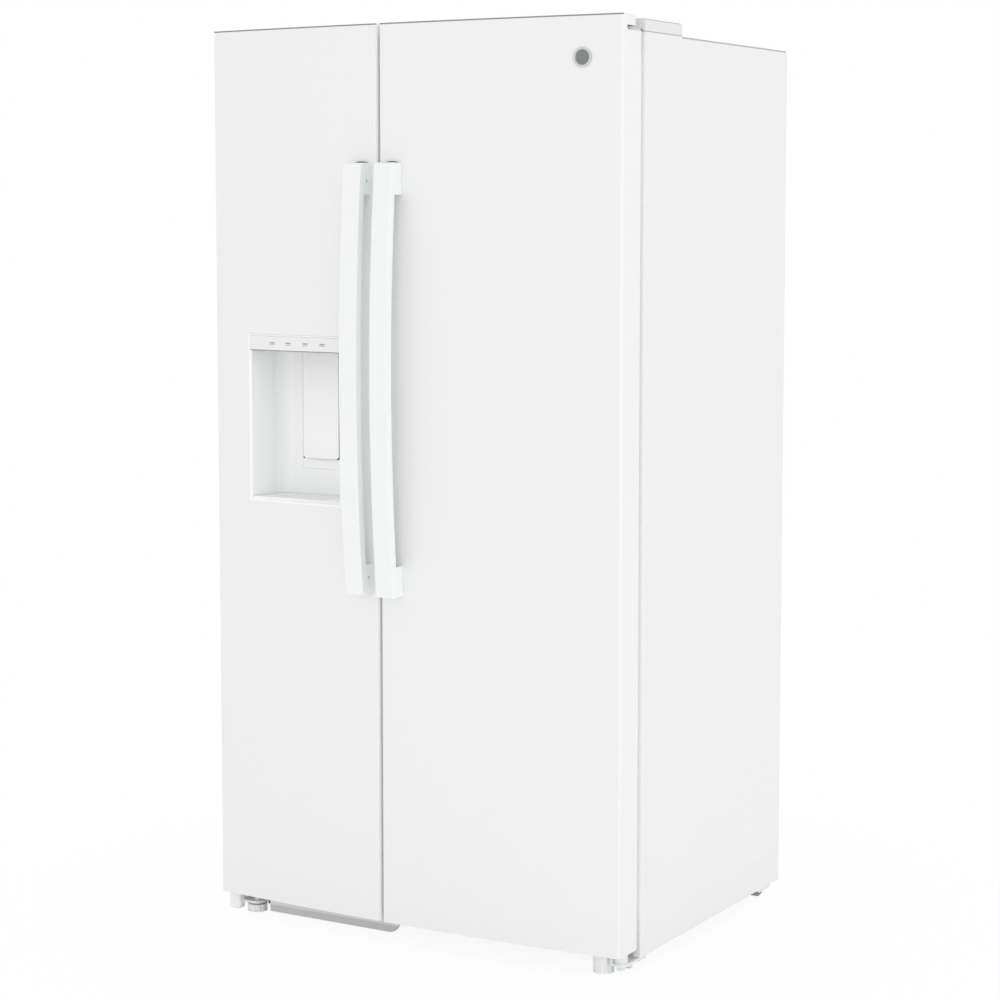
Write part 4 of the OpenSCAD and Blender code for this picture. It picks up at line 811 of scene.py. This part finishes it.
class FRIDGE_OT_base(bpy.types.Operator):
    """Finish the base: toe panel with its clip, hinge pin shoe and hinge plate bolt"""
    bl_idname = "fridge.base"
    bl_label = "Toe panel and base hardware"

    def execute(self, context):
        form = cad_copy("toe_panel")
        round_edges(form, 1.0 * MM, 2, 40)
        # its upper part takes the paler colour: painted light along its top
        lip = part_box("toe_panel")[0].z + 14 * MM
        score(form, lip)
        for face in form.faces:
            face.material_index = int(height_of(face) > lip)
        finished("toe_panel_shell", form, ["toe_abs", "toe_top_light"], "cabinet",
                 ("toe_panel",))
        # moulded shoe in front of the lower left hinge pin, open 5 mm above the floor
        form = block((-HALF_WIDTH + 7 * MM, FACE_Y + 13 * MM, 5 * MM),
                     (-HALF_WIDTH + 35 * MM, FACE_Y + 33 * MM, 41 * MM))
        round_edges(form, 5 * MM, 5, 60, lambda e: min(v.co.z for v in e.verts) < 6 * MM)
        finished("hinge_pin_shoe", form, ["foot_nylon"], "cabinet")
        # clip that holds the toe panel's left end
        form = block((-385 * MM, FACE_Y + 62 * MM, 10 * MM),
                     (-361.5 * MM, FACE_Y + 68 * MM, 38 * MM))
        round_edges(form, 0.8 * MM, 2, 40)
        finished("toe_panel_clip", form, ["grey_plastic"], "cabinet")
        # bolt under the right hinge plate, in line with its pin
        pin_x, pin_y = HALF_WIDTH - 20 * MM, FACE_Y + 78 * MM
        form = bmesh.new()
        for step in BOLT_STEPS_MM:
            radius, low, high = (size * MM for size in step)
            rod = bmesh.ops.create_cone(form, cap_ends=True, segments=32, radius1=radius,
                                        radius2=radius, depth=high - low)["verts"]
            bmesh.ops.translate(form, verts=rod, vec=(pin_x, pin_y, (low + high) / 2))
        finished("hinge_plate_bolt", form, ["hinge_paint"], "cabinet")
        return {"FINISHED"}


def seen_by_eye(tree, ray):
    """1 for a ray from the camera, straight, off a gloss or through glass."""
    glossy = add(tree, "Math", {"operation": "MAXIMUM"},
                 {0: ray.outputs["Is Camera Ray"], 1: ray.outputs["Is Glossy Ray"]})
    return add(tree, "Math", {"operation": "MAXIMUM"},
               {0: glossy.outputs[0], 1: ray.outputs["Is Transmission Ray"]}).outputs[0]


class FRIDGE_OT_stage(bpy.types.Operator):
    """Floor, soft light and camera"""
    bl_idname = "fridge.stage"
    bl_label = "Studio"

    def execute(self, context):
        colours, _, studio = settings()
        scene = context.scene
        backdrop = tuple(colours.backdrop)
        # floor: matt near the object, plain white to the camera further out
        form = bmesh.new()
        reach = 14.0  # metres, past the edge of every view
        bmesh.ops.create_circle(form, cap_ends=True, segments=96, radius=reach)
        mesh = bpy.data.meshes.new("studio_floor")
        form.to_mesh(mesh)
        form.free()
        floor = bpy.data.objects.new("studio_floor", mesh)
        scene.collection.objects.link(floor)
        matt = 0.9
        material, tree, shader, place = surface("studio_floor_paper", srgb(PAPER), matt)
        mottled(tree, shader, place, srgb(PAPER), cell_mm=30, amount=0.006,
                roughness=matt)
        far = add(tree, "VectorMath", {"operation": "LENGTH"}, {0: place})
        fade = add(tree, "MapRange", {"From Min": 0.4, "From Max": 1.1, "To Min": 0.92},
                   {"Value": far.outputs["Value"]})
        ray = add(tree, "LightPath")
        share = add(tree, "Math", {"operation": "MULTIPLY"},
                    {0: seen_by_eye(tree, ray), 1: fade.outputs["Result"]})
        glow = add(tree, "Emission", {"Color": backdrop, "Strength": 1.0})
        mix = add(tree, "MixShader", {}, {0: share.outputs[0], 1: shader.outputs[0],
                                          2: glow.outputs[0]})
        tree.links.new(mix.outputs[0], tree.nodes["Material Output"].inputs["Surface"])
        mesh.materials.append(material)
        # world: even light, plain white to the camera
        world = bpy.data.worlds.new("studio_world")
        scene.world = world
        world.use_nodes = True
        tree = world.node_tree
        light = tree.nodes["Background"]
        light.inputs["Color"].default_value = backdrop
        light.inputs["Strength"].default_value = studio.world
        white = add(tree, "Background", {"Color": backdrop, "Strength": 1.0})
        ray = add(tree, "LightPath")
        mix = add(tree, "MixShader", {}, {0: seen_by_eye(tree, ray),
                                          1: light.outputs[0], 2: white.outputs[0]})
        tree.links.new(mix.outputs[0], tree.nodes["World Output"].inputs["Surface"])
        # large soft lamps in front and on the right
        for name, (place, size) in LAMPS.items():
            data = bpy.data.lights.new(name + "_lamp", "AREA")
            data.shape, data.size, data.energy = "DISK", size, getattr(studio, name)
            lamp = bpy.data.objects.new(name + "_lamp", data)
            lamp.location = place
            lamp.rotation_mode = "QUATERNION"
            lamp.rotation_quaternion = (LAMP_AIM - Vector(place)).to_track_quat("-Z", "Y")
            scene.collection.objects.link(lamp)
        # camera
        data = bpy.data.cameras.new("camera")
        data.sensor_width, data.lens, data.shift_y = 36.0, studio.lens, studio.shift
        data.clip_end = 60.0  # metres, past the far edge of the floor
        camera = bpy.data.objects.new("camera", data)
        camera.location = CAMERA_PLACE
        camera.rotation_euler = (math.pi / 2 - studio.pitch, 0, studio.yaw)
        scene.collection.objects.link(camera)
        scene.camera = camera
        scene.view_settings.view_transform = "Standard"
        return {"FINISHED"}


class FRIDGE_PT_panel(bpy.types.Panel):
    """Lists the steps that build the refrigerator"""
    bl_label = "Refrigerator"
    bl_idname = "FRIDGE_PT_panel"
    bl_space_type = "VIEW_3D"
    bl_region_type = "UI"
    bl_category = "Refrigerator"

    def draw(self, context):
        for step in STEPS:
            self.layout.operator(step.bl_idname, text=step.bl_label)
        for group in settings():
            column = self.layout.column(align=True)
            for key in group.bl_rna.properties.keys():
                if key not in ("rna_type", "name"):
                    column.prop(group, key)


STEPS = (
    FRIDGE_OT_materials,
    FRIDGE_OT_doors,
    FRIDGE_OT_handles,
    FRIDGE_OT_shadow_pads,
    FRIDGE_OT_dispenser,
    FRIDGE_OT_marks,
    FRIDGE_OT_badge,
    FRIDGE_OT_cabinet,
    FRIDGE_OT_base,
    FRIDGE_OT_stage,
)
GROUPS = {"fridge_colours": FridgeColours, "fridge_sizes": FridgeSizes,
          "fridge_studio": FridgeStudio}


def register():
    for group in GROUPS.values():
        bpy.utils.register_class(group)
    for name, group in GROUPS.items():
        setattr(bpy.types.Scene, name, PointerProperty(type=group))
    for step in STEPS + (FRIDGE_PT_panel,):
        bpy.utils.register_class(step)


def unregister():
    for step in STEPS + (FRIDGE_PT_panel,):
        bpy.utils.unregister_class(step)
    for name, group in GROUPS.items():
        delattr(bpy.types.Scene, name)
        bpy.utils.unregister_class(group)


def main():
    register()
    for step in STEPS:
        group, name = step.bl_idname.split(".")
        getattr(getattr(bpy.ops, group), name)()


if __name__ == "__main__":
    main()
